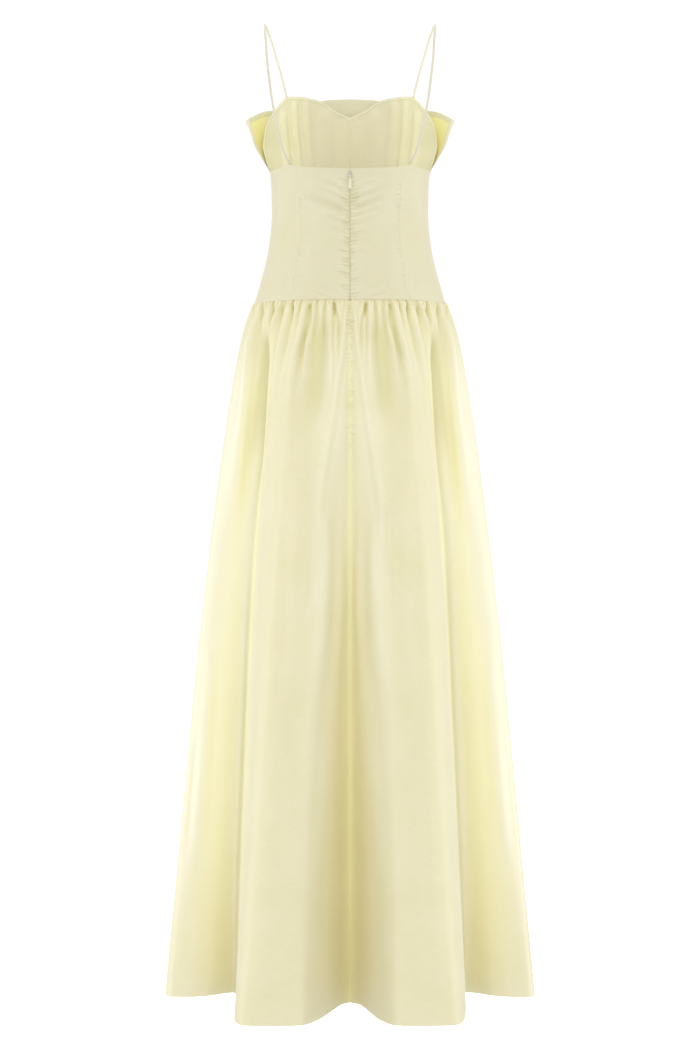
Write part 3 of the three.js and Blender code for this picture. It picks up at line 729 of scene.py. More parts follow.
@dataclass(frozen=True)
class Metal:
    """A small hard piece: nickel-plated or lacquered zinc, tumbled smooth before it was finished.

    Args:
        name: The material's name.
        color: Its colour as sRGB hex.
        metallic: 1 for bare plating and 0 for lacquer.
        roughness: Mean roughness.
        grain: Size of the finish's unevenness in millimetres.
        relief: Height of its bump in metres.
        bump: Strength of the bump.
    """

    name: str
    color: str
    metallic: float
    roughness: float
    grain: float = 0.8
    relief: float = 0.00003
    bump: float = 0.2

    def build(self) -> bpy.types.Material:
        """Makes the material."""
        material = bpy.data.materials.new(self.name)
        tree = emptied(material)
        place = node(tree, "ShaderNodeTexCoord").outputs["Object"]
        uneven = node(tree, "ShaderNodeTexNoise", {"Vector": place},
                      {"Scale": 1 / (self.grain * MM), "Detail": 2.0}).outputs[0]
        rough = spread(tree, uneven, NOISE_RANGE, (self.roughness - 0.06, self.roughness + 0.08))
        bump = node(tree, "ShaderNodeBump", {"Height": uneven},
                    {"Strength": self.bump, "Distance": self.relief}).outputs[0]
        shader = node(tree, "ShaderNodeBsdfPrincipled", {"Roughness": rough, "Normal": bump},
                      {"Base Color": linear(self.color), "Metallic": self.metallic})
        node(tree, "ShaderNodeOutputMaterial", {"Surface": shader.outputs[0]})
        return material


def dress_in(piece: bpy.types.Object, material: bpy.types.Material, body: str = DRESS,
             replaces: Sequence[str] = ()) -> bpy.types.Object:
    """Gives a piece its material, hides the solids it stands for and attaches it to its body.

    Args:
        piece: The piece.
        material: Its material.
        body: The body it moves with.
        replaces: The solids it stands for.

    Returns:
        The piece.
    """
    piece.data.materials.clear()
    piece.data.materials.append(material)
    if replaces:
        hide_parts(*replaces)
    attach(piece, body)
    LOG.info("%s: %d faces", piece.name, len(piece.data.polygons))
    return piece


# ---------------------------------------------------------------- what repeats
@dataclass(frozen=True)
class Row:
    """Small equal pieces laid along a path by Geometry Nodes: stitches, or the turns of a zip's coil.

    Args:
        pitch: Distance from one piece to the next.
        size: Its size across the path, out from the cloth and along the path.
        uneven: Share by which sizes differ.
        seed: Seed of the unevenness.
    """

    pitch: float
    size: tuple[float, float, float]
    uneven: float = 0.12
    seed: int = 1

    def tree(self) -> bpy.types.GeometryNodeTree:
        """The node tree, which lays rounded pieces along the path that its mesh is."""
        tree = bpy.data.node_groups.new("row_of_pieces", "GeometryNodeTree")
        socket = tree.interface.new_socket
        for name, kind in (("Paths", "Geometry"), ("Pitch", "Float"), ("Size", "Vector"), ("Least", "Float"),
                           ("Most", "Float"), ("Seed", "Int"), ("Material", "Material")):
            socket(name, in_out="INPUT", socket_type=f"NodeSocket{kind}")
        socket("Pieces", in_out="OUTPUT", socket_type="NodeSocketGeometry")
        given = node(tree, "NodeGroupInput").outputs
        curve = node(tree, "GeometryNodeMeshToCurve", {"Mesh": given["Paths"]}).outputs["Curve"]
        places = node(tree, "GeometryNodeCurveToPoints", {"Curve": curve, "Length": given["Pitch"]},
                      mode="LENGTH")
        bead = node(tree, "GeometryNodeMeshUVSphere", None, {"Segments": 6, "Rings": 4, "Radius": 0.5})
        random = node(tree, "FunctionNodeRandomValue", data_type="FLOAT")
        for name, source in (("Min", "Least"), ("Max", "Most"), ("Seed", "Seed")):
            tree.links.new(given[source], next(s for s in random.inputs if s.name == name and s.enabled))
        factor = next(s for s in random.outputs if s.enabled)
        size = node(tree, "ShaderNodeVectorMath", {0: given["Size"], "Scale": factor}, operation="SCALE")
        laid = node(tree, "GeometryNodeInstanceOnPoints",
                    {"Points": places.outputs["Points"], "Instance": bead.outputs["Mesh"],
                     "Rotation": places.outputs["Rotation"], "Scale": size.outputs["Vector"]})
        real = node(tree, "GeometryNodeRealizeInstances", {"Geometry": laid.outputs["Instances"]})
        dressed = node(tree, "GeometryNodeSetMaterial",
                       {"Geometry": real.outputs["Geometry"], "Material": given["Material"]})
        node(tree, "NodeGroupOutput", {"Pieces": dressed.outputs["Geometry"]})
        return tree

    def lay(self, name: str, path: Array, material: bpy.types.Material, slot: str) -> bpy.types.Object:
        """Lays the pieces and makes them one plain mesh.

        Args:
            name: The piece's name.
            path: The points of the path, in millimetres.
            material: Its material.
            slot: The record's material slot; not used.

        Returns:
            The piece.
        """
        edges = [(i, i + 1) for i in range(len(path) - 1)]
        lines = bpy.data.meshes.new(f"{name}_path")
        lines.from_pydata((path * MM).tolist(), edges, [])
        piece = link(name, lines)
        modifier = piece.modifiers.new("row", "NODES")
        modifier.node_group = self.tree()
        values = {"Pitch": self.pitch * MM, "Size": tuple(side * MM for side in self.size),
                  "Least": 1 - self.uneven, "Most": 1 + self.uneven, "Seed": self.seed, "Material": material}
        for item in modifier.node_group.interface.items_tree:
            if item.in_out == "INPUT" and item.name in values:
                modifier[item.identifier] = values[item.name]
        graph = bpy.context.evaluated_depsgraph_get()
        made = bpy.data.meshes.new_from_object(piece.evaluated_get(graph), depsgraph=graph)
        piece.modifiers.clear()
        piece.data = made
        made.name = name
        made.shade_smooth()
        return dress_in(piece, material)


# ---------------------------------------------------------------- the bodice
MIDDLE = 300.0  # a drop in the middle of the bodice
SETTLING = 16  # passes in which a panel's points settle between its seams and edges


@dataclass
class Panel:
    """A bodice panel between two seams, from its top edge to the waist, all of about one height.

    Args:
        node: The solid it stands for, without its half.
        name: The piece's name, without its half.
        seams: The direction of its first and second seam at a drop.
        top: The drop of its top edge in a direction.
        width: Its mean width, which sets the number of columns.
        step: Distance between its columns and rows.
        opening: What is left open at its first seam.
        height: Its mean height, which sets the number of rows.
        near_edges: Distances from its edges of the points that shape their roll.
    """

    node: str
    name: str
    seams: tuple[Callable[[Array], Array], Callable[[Array], Array]]
    top: Callable[[Array], Array]
    width: float
    step: float
    opening: float = MEETING
    height: float = 200.0
    near_edges: tuple[float, ...] = (0.5, 1.1, 1.8)

    def places(self) -> tuple[Array, Array]:
        """The directions and drops of the panel's points on the left half."""
        share = spaced(self.width, self.step, self.near_edges)
        height = 1 - spaced(self.height, self.step, self.near_edges)[::-1]
        across, down = np.meshgrid(share, height)
        bottom = WAIST - MEETING / 2
        turn, drop = np.zeros(across.shape), np.full(across.shape, MIDDLE)
        for _ in range(SETTLING):
            point = bodice_point(turn, drop)
            gap = np.degrees(0.5 / np.hypot(point[..., 0], point[..., 1]))
            first, second = (seam(drop) for seam in self.seams)
            inward = np.sign(second - first)
            turn = mix(first + gap * self.opening * inward, second - gap * MEETING * inward, across)
            drop = mix(self.top(turn), bottom, down)
        return turn, drop


def front_top(turn: Array) -> Array:
    """The drop of the front's top edge."""
    return FRONT_TOP_CURVE.at(-turn)


def back_top(turn: Array) -> Array:
    """The drop of the back's top edge."""
    return BACK_TOP_CURVE.at(bodice_point(turn, np.full(turn.shape, SIDE_TOP))[..., 0])


def back_princess(drop: Array) -> Array:
    """The direction of the back princess seam."""
    return turn_across(BACK_PRINCESS_CURVE.at(drop), drop, 1)


def front_princess(drop: Array) -> Array:
    """The direction of the front princess seam."""
    return turn_across(FRONT_PRINCESS_CURVE.at(drop), drop, -1)


def level(turn: float) -> Callable[[Array], Array]:
    """A seam that keeps one direction."""
    return lambda drop: np.full(np.shape(drop), float(turn))


def centre_line(drop: float) -> tuple[float, float]:
    """The centre-back seam's place at a drop."""
    return 0.0, drop


def puckers(path: Callable[[float], tuple[float, float]], span: tuple[float, float], step: float,
            reach: float, rise: float, height: float, seed: int, side: int) -> list[Crease]:
    """Short creases that leave a seam at a slant, as stitches that draw the cloth up make.

    Args:
        path: The seam's place at a drop, as distance from the centre line and drop.
        span: First and last drop.
        step: Mean distance between two creases.
        reach: Mean length of a crease.
        rise: How far a crease rises over its length.
        height: Mean height.
        seed: Seed of their unevenness.
        side: 1 for creases that leave towards the wearer's left, -1 towards the right.

    Returns:
        The creases.
    """
    random = np.random.default_rng(seed)
    made = []
    drop = span[0] + step * random.uniform(0, 1)
    while drop < span[1]:
        length = reach * random.uniform(0.45, 1.35)
        up = rise * random.uniform(0.5, 1.3)
        tall = height * random.uniform(0.5, 1.25)
        x, start = path(drop)
        first = (x + side * 0.4, start)
        middle = (x + side * length * 0.5, start - up * 0.35)
        last = (x + side * length, start - up)
        made.append(Crease((first, middle, last), tall, step * 0.42, step * 0.55, (0.04, 0.7)))
        below = step * 0.5
        made.append(Crease(tuple((a, b + below) for a, b in (first, middle, last)), -0.7 * tall, step * 0.35,
                           step * 0.5, (0.04, 0.7)))
        drop += step * random.uniform(0.8, 1.25)
    return made


DRAG_LINES = (
    Crease(((1, 262), (22, 246), (50, 236)), 1.5, 5, 9),
    Crease(((1, 276), (18, 262), (48, 250), (72, 240)), 2.4, 6, 11),
    Crease(((1, 287), (18, 274), (48, 262), (76, 251)), 3.0, 7, 12),
    Crease(((1, 295), (18, 285), (50, 271), (70, 262)), -2.6, 6, 10),
    Crease(((1, 304), (16, 297), (44, 286)), 2.4, 6, 10),
    Crease(((1, 318), (16, 311), (36, 303)), 1.7, 5, 9),
    Crease(((1, 335), (14, 330), (30, 326)), 1.4, 5, 8),
    Crease(((1, 382), (16, 374), (30, 370)), 1.4, 5, 8),
    Crease(((-1, 254), (-24, 246), (-52, 240)), 1.4, 5, 9),
    Crease(((-1, 267), (-20, 259), (-47, 249), (-77, 236)), 2.5, 6, 12),
    Crease(((-1, 279), (-20, 273), (-34, 269), (-70, 254)), 2.7, 6, 12),
    Crease(((-1, 286), (-20, 280), (-50, 267)), -2.4, 6, 10),
    Crease(((-1, 293), (-23, 285), (-60, 268)), 2.4, 6, 10),
    Crease(((-1, 306), (-17, 299), (-40, 288)), 1.8, 5, 9),
    Crease(((-1, 322), (-18, 316), (-34, 312)), 1.5, 5, 8),
    Crease(((-1, 350), (-14, 345), (-32, 342)), 1.3, 5, 8),
    Crease(((68, 388), (60, 400), (46, 409), (30, 414), (12, 416)), 1.5, 3.4, 3, (0.4, 0.3)),
    Crease(((66, 380), (54, 394), (38, 403), (12, 408)), -1.5, 6, 5, (0.4, 0.4)),
    Crease(((-68, 384), (-60, 397), (-48, 407), (-30, 413), (-12, 416)), 1.5, 3.4, 3, (0.4, 0.3)),
    Crease(((-66, 376), (-54, 391), (-36, 402), (-12, 408)), -1.5, 6, 5, (0.4, 0.4)),
    Crease(((98, 385), (92, 398), (86, 409)), -0.9, 5, 6, (0.4, 0.4)),
    Crease(((-98, 382), (-93, 396), (-86, 409)), -0.9, 5, 6, (0.4, 0.4)),
)  # they fan out from the zip, to the right where the distance from the centre line is negative


@dataclass
class Bodice:
    """The fitted bodice: four back panels and four front panels of taffeta, and its creases.

    Args:
        cloth: Its taffeta.
        roll: How far an edge rolls in to its seam, and over what width.
        ridge: Height of the ridge that the turnings make over the waist seam.
        ridge_fade: Between which heights over the seam the ridge fades.
        sink: How far the cloth lies inside the solid's face.
        trough: How deep a trough may be over the zip's tape, and past it.
        tape_edge: Between which distances from the zip the one changes to the other.
    """

    # painted shade: the bodice's taffeta has a darker colour than the skirt's, the same cloth shaded
    cloth: Taffeta = Taffeta("taffeta_woven_bodice", "#E8E3C5", "#E4DEBB")
    roll: tuple[float, float] = (0.4, 1.6)
    ridge: float = 0.45
    ridge_fade: tuple[float, float] = (2.5, 6.5)
    sink: float = 0.05
    trough: tuple[float, float] = (0.75, 3.0)
    tape_edge: tuple[float, float] = (9.0, 16.0)

    def panels(self) -> list[Panel]:
        """The panels of one half."""
        return [
            Panel("back_center", "bodice_back_center", (level(90), back_princess), back_top, 80, 1.2,
                  ZIP_OPENING),
            Panel("back_side", "bodice_back_side", (back_princess, level(0)), back_top, 88, 1.6),
            Panel("front_side", "bodice_front_side", (level(0), front_princess), front_top, 120, 2.4),
            Panel("front_center", "bodice_front_center", (front_princess, level(-90)), front_top, 80, 2.2),
        ]

    def back_creases(self) -> list[Crease]:
        """Puckers beside the zip and the princess seams, and the drag lines."""
        made = []
        for side in (1, -1):
            def seam(drop: float) -> tuple[float, float]:
                """The princess seam's place at a drop."""
                return side * float(BACK_PRINCESS_CURVE.at(drop)), drop

            made += puckers(centre_line, (240, 418), step=5.6, reach=17, rise=6.5, height=1.45,
                            seed=11 + side, side=side)
            made += puckers(seam, (246, 405), step=6.2, reach=10, rise=2.5, height=0.75,
                            seed=31 + side, side=-side)
            made += puckers(seam, (262, 396), step=8.5, reach=17, rise=9.0, height=0.5,
                            seed=51 + side, side=side)
        return [*made, *DRAG_LINES]

    def lift(self, drop: Array, x: Array, edges: Array, back: bool) -> Array:
        """The panel's relief: its creases, and the edges that roll in to the seams.

        Args:
            drop: Drops.
            x: Distances from the centre line, positive to the wearer's left.
            edges: Distance to the nearest seam.
            back: True on the back.

        Returns:
            One height for each point.
        """
        deep, wide = self.roll
        up = WAIST - drop
        over_waist = self.ridge * ease(up, 0, wide) * (1 - ease(up, *self.ridge_fade))
        plain = over_waist - deep * (1 - ease(up, 0, wide)) - deep * (1 - ease(edges, 0, wide))
        if not back:
            return plain
        deepest = mix(*self.trough, ease(np.abs(x), *self.tape_edge))
        return np.maximum(plain + total_lift(self.back_creases(), x, drop), -deepest)

    def build(self) -> None:
        """Makes all eight panels."""
        material = self.cloth.build()
        for panel in self.panels():
            turn, drop = panel.places()
            point = bodice_point(turn, drop)
            along = run(point, 1)
            edges = np.minimum(along, along[:, -1:] - along)
            back = panel.node.startswith("back")
            for half in Half:
                lift = self.lift(drop, half.value * point[..., 0], edges, back) - self.sink
                outer = moved(bodice_point, turn, drop, lift)
                inner = moved(bodice_point, turn, drop, lift - CLOTH)
                piece = shell_mesh(f"{panel.name}_{half.word}", outer * half.flip, inner * half.flip)
                dress_in(piece, material, replaces=[f"{panel.node}_{half.word}"])


LINING_FOLDS = (
    Crease(((104, 112), (100, 165), (90, 260)), 4.4, 8, 9, (0.12, 0.4)),
    Crease(((94, 104), (90, 160), (80, 250)), -2.6, 6, 7, (0.1, 0.4)),
    Crease(((86, 98), (82, 160), (72, 250)), 3.8, 6, 8, (0.1, 0.4)),
    Crease(((78, 96), (73, 160), (64, 240)), -2.4, 6, 8, (0.1, 0.4)),
    Crease(((68, 96), (63, 160), (56, 240)), 2.6, 8, 10, (0.1, 0.4)),
    Crease(((40, 108), (38, 170), (36, 250)), 2.2, 13, 16, (0.1, 0.4)),
    Crease(((20, 120), (19, 170), (18, 240)), -1.8, 9, 10, (0.1, 0.4)),
    Crease(((4.2, 126), (4.0, 300)), -0.8, 2.6, 2.6, (0.02, 0.3)),
    Crease(((0, 124), (0, 300)), 1.1, 2.2, 2.2, (0.02, 0.3)),
)  # on the left half


@dataclass
class Lining:
    """The front's lining, which shows inside over the back neckline.

    Args:
        cloth: Its plain matt cloth.
        thread: The understitching's thread.
        stitches: The understitching.
        size: Width and height of one half, which set its columns and rows, and the distances between them.
        turns: Its directions at the side and at the centre front.
        edge: How far it ends inside the bodice's edges.
        depth: How far it lies behind the bodice's face.
        rise: How much closer it lies at its top edge, and over what width.
        closest: The least it lies behind the bodice's face.
        thickness: Its thickness.
        painted_bright: Between which distances from the centre line it is painted paler, as painted light
            from the armholes.
        understitch: How far the stitches lie below the edge, and behind the bodice's face.
        stitch_turns: The directions between which they run.
    """

    # pale is the lining's painted light near the armholes
    cloth: Taffeta = Taffeta("lining_woven_matt", "#F3EDCE", "#EEE7C3", roughness=0.6, sheen=0.2,
                             pale="#FFFBD4")
    thread: Taffeta = Taffeta("polyester_thread_twisted", "#BDB583", "#B1A975", roughness=0.6, sheen=0.1)
    stitches: Row = Row(3.0, (0.62, 0.5, 2.0))
    size: tuple[tuple[float, float], tuple[float, float]] = ((200, 1.9), (260, 2.4))
    turns: tuple[float, float] = (-0.1, -89.985)
    edge: float = 0.4
    depth: float = 1.55
    rise: tuple[float, float] = (0.85, 4.5)
    closest: float = 0.72
    thickness: float = 0.4
    painted_bright: tuple[float, float] = (45.0, 100.0)
    understitch: tuple[float, float] = (4.6, 1.99)
    stitch_turns: tuple[float, float] = (-88.8, -2.0)

    def build(self) -> None:
        """Makes both halves."""
        material, thread = self.cloth.build(), self.thread.build()
        share = spaced(*self.size[0], (0.6, 1.4))
        height = 1 - spaced(*self.size[1], (0.6, 1.4, 2.6, 4.2))[::-1]
        across, down = np.meshgrid(share, height)
        turn = mix(*self.turns, across)
        drop = mix(front_top(turn) + self.edge, WAIST - self.edge, down)
        rise, width = self.rise
        plain = rise * (1 - ease(drop - front_top(turn), 0, width)) - self.depth
        stitch_turn = np.linspace(*self.stitch_turns, 240)
        stitch_drop = front_top(stitch_turn) + self.understitch[0]
        for half in Half:
            x = half.value * bodice_point(turn, drop)[..., 0]
            lift = np.minimum(plain + self.relief(x, drop), -self.closest)
            outer, inner = (moved(bodice_point, turn, drop, lift - more) * half.flip
                            for more in (0, self.thickness))
            # painted light: paler towards the armholes
            tone = ease(np.abs(x), *self.painted_bright)
            piece = shell_mesh(f"lining_front_{half.word}", outer, inner, {PAINTED_TONE: (tone, tone)})
            dress_in(piece, material, replaces=[f"front_lining_{half.word}"])
            stitch_x = bodice_point(stitch_turn, stitch_drop)[..., 0]
            stitch_lift = self.relief(stitch_x, stitch_drop) - self.understitch[1]
            path = moved(bodice_point, stitch_turn, stitch_drop, stitch_lift)
            self.stitches.lay(f"understitching_{half.word}", path * half.flip, thread, "lining")

    def relief(self, x: Array, drop: Array) -> Array:
        """Soft vertical folds below the straps, the centre seam and the puckers of the understitching."""
        return -total_lift(LINING_FOLDS, np.abs(x), drop)


@dataclass
class Flap:
    """The stand-away bust flap, sewn under the bust and at the side seams.

    Args:
        cloth: Its taffeta.
        foot: The drop of the seam that holds it.
        gap: How far it lies off the bodice below the place where it leaves.
        half_width: Half its width, which sets the number of columns, and the distance between them.
        height: Its height, which sets the number of rows, and the distance between them.
        leave: Share of its height at which it leaves the bodice.
        stand: How far it stands off at its top edge, at the centre and at the corners.
        curl: Above 1 for a flap that curls out.
        side_turn: Its side edges' direction where it leaves the bodice.
        corner_turn: The same at its corners.
        hug: Width over which its side edges lie on the bodice.
        band: Width of its turned hem.
        faces: How far its two faces lie out from its form.
        turning: Thickness of the turned hem.
        edge_radius: Width over which its edges are rounded.
        pocket: Between which shares of its half width its inside is painted as a deep fold.
        pocket_top: Between which distances below its top edge that painting starts.
        top: Its top edge.
    """

    # painted shade: a colour a touch darker than the bodice's; pale is a painted highlight on the turned
    # hem's band, and the fold colour painted light in the pocket
    cloth: Taffeta = Taffeta("taffeta_woven_flap", "#E8E2C2", "#E4DDB8", pale="#FAF5D6", painted_fold_light="#FFFAAE")
    foot: float = 262.0
    gap: float = 1.25
    half_width: tuple[float, float] = (195.0, 2.0)
    height: tuple[float, float] = (170.0, 2.2)
    leave: float = 0.3
    stand: tuple[float, float] = (31.0, 30.0)
    curl: float = 2.3
    side_turn: float = 8.0
    corner_turn: float = 21.3
    hug: tuple[float, float] = (190.0, 12.0)
    band: float = 9.0
    faces: tuple[float, float] = (1.15, 0.55)
    turning: float = 0.45
    edge_radius: float = 0.8
    pocket: tuple[float, float] = (0.45, 0.75)
    pocket_top: tuple[float, float] = (8.0, 11.0)
    top: tuple[tuple[float, float], ...] = (
        (21.3, 135.8), (23, 132.2), (25, 129.5), (28, 125.1), (32, 119.5), (36, 115.1), (41, 112.2),
        (55, 103), (75, 92), (90, 90.5),
    )  # (turn towards the front, drop)

    def build(self) -> None:
        """Makes the flap in one piece, with its turned hem along the top and both sides."""
        share = spaced(*self.half_width, (0.4, 1.0))
        height = spaced(*self.height, (0.4, 1.0, self.band - 0.4, self.band + 0.2))
        across, up = np.meshgrid(share, height[::-1])
        loose = np.maximum((up - self.leave) / (1 - self.leave), 0) ** self.curl
        side = -mix(self.side_turn, self.corner_turn, loose ** 0.5)
        turn = mix(-90.0, side, across)
        drop = mix(self.foot, Curve(self.top).at(mix(90.0, self.corner_turn, across)), up)
        girth, hug_width = self.hug
        hug = (1 - ease((1 - across) * girth, 0, hug_width)) * (1 - ease(loose, 0, 0.05))
        lift = self.gap + loose * mix(*self.stand, across) - hug * (self.gap - 0.25)
        point = moved(bodice_point, turn, drop, lift)
        from_top = (1 - up) * run(point, 0)[-1]
        from_side = (1 - across) * run(point, 1)[:, -1:]
        edge = np.minimum(from_top, from_side)
        turned = self.turning * (1 - ease(edge, self.band - 0.7, self.band))
        rounded = 0.35 * (1 - np.sqrt(np.clip(edge / self.edge_radius, 0, 1)))
        outside, inside = self.faces
        outer = moved(bodice_point, turn, drop, lift + outside - rounded - 0.6 * hug)
        inner = moved(bodice_point, turn, drop, lift + inside - turned + rounded - 0.3 * hug)
        # painted light and shade: the inner face is painted pale on the turned hem's band and painted with
        # the deep fold colour in the pocket; the outer face has none
        hem = (1 - ease(from_side, self.band - 1.6, self.band + 0.6)) * ease(up, 0.02, 0.12)
        below_top = mix(0.25, 1.0, ease(from_top, *self.pocket_top))
        tone = mix(-ease(across, *self.pocket) * below_top, 1.0, hem)
        painted_tones = (self.whole(np.zeros(tone.shape)), self.whole(tone))
        faces = (self.whole(side, Half.RIGHT.flip) for side in (outer, inner))
        piece = shell_mesh("flap_bust", *faces, {PAINTED_TONE: painted_tones})
        dress_in(piece, self.cloth.build(), replaces=["bust_flap"])

    @staticmethod
    def whole(half: Array, flip: Array | float = 1.0) -> Array:
        """The left half's rows, with the right half's put before them."""
        return np.concatenate([half[:, :0:-1] * flip, half], axis=1)


@dataclass
class Straps:
    """The two rouleau straps: bias tubes turned through.

    Args:
        cloth: Their taffeta, with closer threads.
        radius: Their outer radius.
        route: The left strap's centre line from the front edge over the shoulder, by X, Y and drop.
        end_drops: Drops of its last points, inside the back edge.
        end_across: Their distance from the centre line.
        behind: How far they lie behind the bodice's face: its wall, the gap and the strap itself.
        lumen: Share of the tube's width that is hollow.
        sides: Points round it.
        steps: Rings along it.
        ruck: Height of the fine waves along it.
        seam: Depth of the groove of its seam, and the angle over which it fades.
        front_tone: How much painted highlight the front run has, which stands in the light.
        front_end: Shares of its length between which that fades.
    """

    # pale is the front run's painted highlight
    cloth: Taffeta = Taffeta("taffeta_rouleau_bias", "#E9E1CE", "#E3DAC4", thread=0.4, pale="#FFFCE4")
    radius: float = 1.75
    route: tuple[tuple[float, float, float], ...] = (
        (97.0, -83.9, 96.4), (98.9, -81.6, 88.5), (101.9, -77.6, 76), (107.6, -68, 55), (114.2, -57, 33),
        (119.7, -43, 15.6), (124.8, -23, 3.2), (127.4, 0, 0), (127, 20, 8.5), (125.3, 35, 29),
        (123, 48, 60), (119.6, 57, 90), (115.7, 62, 119), (107.6, 66, 161), (98.5, 67, 198),
    )
    end_drops: tuple[float, float] = (217, 231)
    end_across: float = 91.0
    behind: float = 1.2 + SEAM_GAP + 1.8 + 0.2
    lumen: float = 0.66
    sides: int = 20
    steps: int = 420
    ruck: float = 0.03
    seam: tuple[float, float] = (0.16, 0.25)
    front_tone: float = 0.8
    front_end: tuple[float, float] = (0.36, 0.46)

    def path(self) -> Array:
        """The left strap's centre line."""
        points = [np.array([x, y, -drop]) for x, y, drop in self.route]
        for end_drop in self.end_drops:
            drop = np.array(float(end_drop))
            turn = turn_across(np.array(self.end_across), drop, 1)
            points.append(moved(bodice_point, turn, drop, -self.behind))
        dense = smooth(np.array(points), 24)
        length = run(dense)
        even = np.linspace(0, length[-1], self.steps)
        return np.stack([np.interp(even, length, dense[:, i]) for i in range(3)], axis=1)

    def build(self) -> None:
        """Makes both straps."""
        material = self.cloth.build()
        path = self.path()
        tangent = np.gradient(path, axis=0)
        tangent /= np.linalg.norm(tangent, axis=1, keepdims=True)
        side = np.cross(tangent, [1.0, 0.0, 0.0])
        side /= np.linalg.norm(side, axis=1, keepdims=True)
        up = np.cross(side, tangent)
        length = run(path)
        angle = np.linspace(0, 2 * np.pi, self.sides, endpoint=False)
        ruck = self.ruck * np.sin(length * 0.9 + 0.8 * np.sin(length * 0.13))
        groove, wide = self.seam
        seam = groove * np.exp(-((angle - np.pi) / wide) ** 2)
        radius = self.radius + ruck[:, None] - seam[None, :]
        out = np.cos(angle)[None, :, None] * side[:, None] + np.sin(angle)[None, :, None] * up[:, None]
        ring = path[:, None] + radius[..., None] * out
        for half in Half:
            self.tube(ring * half.flip, length, half, material)

    def tube(self, ring: Array, length: Array, half: Half, material: bpy.types.Material) -> None:
        """Makes one strap from its rings.

        Args:
            ring: Points by step and side.
            length: Distance along the strap at each step.
            half: Which strap it is.
            material: Its material.
        """
        steps, sides = ring.shape[:2]
        r, c = np.meshgrid(np.arange(steps - 1), np.arange(sides), indexing="ij")
        a, b = (r * sides + c).ravel(), (r * sides + (c + 1) % sides).ravel()
        outside = np.stack([a, b, b + sides, a + sides], axis=1)
        inside = outside[:, ::-1] + steps * sides
        side = np.arange(sides)
        start, after = side, (side + 1) % sides
        end, end_after = start + (steps - 1) * sides, after + (steps - 1) * sides
        hollow = steps * sides
        ends = [np.stack([after, start, start + hollow, after + hollow], axis=1),
                np.stack([end, end_after, end_after + hollow, end + hollow], axis=1)]
        closed = np.concatenate([outside, inside, *ends])
        if half is Half.RIGHT:
            closed = closed[:, ::-1]
        centre = ring.mean(axis=1, keepdims=True)
        lumen = centre + (ring - centre) * self.lumen
        points = np.concatenate([ring.reshape(-1, 3), lumen.reshape(-1, 3)])
        round_it = np.tile(side / sides * 2 * np.pi * self.radius, steps)
        place = np.stack([round_it, np.repeat(length, sides)], axis=1)
        # painted highlight: paler on the front run, fading along the strap
        tone = np.repeat(self.front_tone * (1 - ease(length / length[-1], *self.front_end)), sides)
        piece = cloth_mesh(f"strap_cord_{half.word}", points, closed, place, {PAINTED_TONE: (tone, tone)})
        dress_in(piece, material, replaces=[f"strap_{half.word}"])


# ---------------------------------------------------------------- the skirt
SKIRT_CREASES = (
    Crease(((11, 424), (9, 450), (11, 480), (14, 510), (20, 550), (27, 600), (36, 650), (44, 700),
            (50, 770), (54, 860)), 4.5, 8, 15, (0.05, 0.35), 1.2),
    Crease(((43, 432), (45, 470), (48, 520), (54, 600), (58, 660)), -13.0, 23, 30, (0.2, 0.5), 0.8),
    Crease(((58, 423), (59, 440), (61, 455), (67, 475), (72, 494), (76, 520), (80, 580)),
           -5.2, 4.6, 12, (0.05, 0.5), 1.2),
    Crease(((65, 450), (73, 475), (79, 500), (84, 540), (90, 600)), 5.0, 8, 16, (0.3, 0.4)),
    Crease(((24, 422), (22, 436), (19, 450), (17, 470), (18, 500), (22, 530)),
           -4.8, 3.6, 9, (0.05, 0.4)),
    Crease(((93, 423), (96, 440), (98, 455), (101, 476), (104, 505), (108, 555), (113, 640),
            (121, 740), (130, 860), (140, 1050), (146, 1200)), 6.5, 7, 18, (0.1, 0.5), 1.4),
    Crease(((104, 424), (111, 450), (116, 475), (118, 515)), 4.5, 5, 8, (0.1, 0.5), 1.2),
    Crease(((84, 424), (86, 440), (88, 470), (92, 510)), -4.0, 5, 9, (0.1, 0.5), 1.2),
    Crease(((121, 440), (126, 465), (133, 530), (139, 600), (148, 700), (158, 800)), -13.0, 11, 24,
           (0.15, 0.5)),
    Crease(((141, 433), (148, 470), (155, 520), (162, 590), (170, 670), (182, 780)), 8.0, 9, 22,
           (0.15, 0.5), 1.2),
    Crease(((150, 440), (160, 490), (170, 560), (178, 640)), -5.0, 8, 18, (0.15, 0.5)),
    Crease(((55, 700), (54, 760), (54, 830), (57, 872)), -4.0, 10, 14, (0.3, 0.12)),
    Crease(((66, 880), (60, 868), (52, 866), (44, 874)), -3.0, 6, 6, (0.3, 0.4)),
    Crease(((36, 720), (34, 800), (38, 900), (44, 1020)), 5.0, 12, 20, (0.3, 0.4)),
    Crease(((14, 700), (14, 858), (24, 1000), (33, 1141), (40, 1300)), 4.0, 9, 20, (0.3, 0.3)),
    Crease(((88, 640), (92, 760), (96, 900), (104, 1060)), -3.0, 16, 24, (0.35, 0.4)),
    Crease(((206, 900), (212, 1010), (222, 1140), (232, 1280)), 5.0, 12, 22, (0.3, 0.4)),
    Crease(((228, 1040), (240, 1160), (250, 1300)), -4.0, 10, 18, (0.3, 0.4)),
)  # the back's main creases on the left half


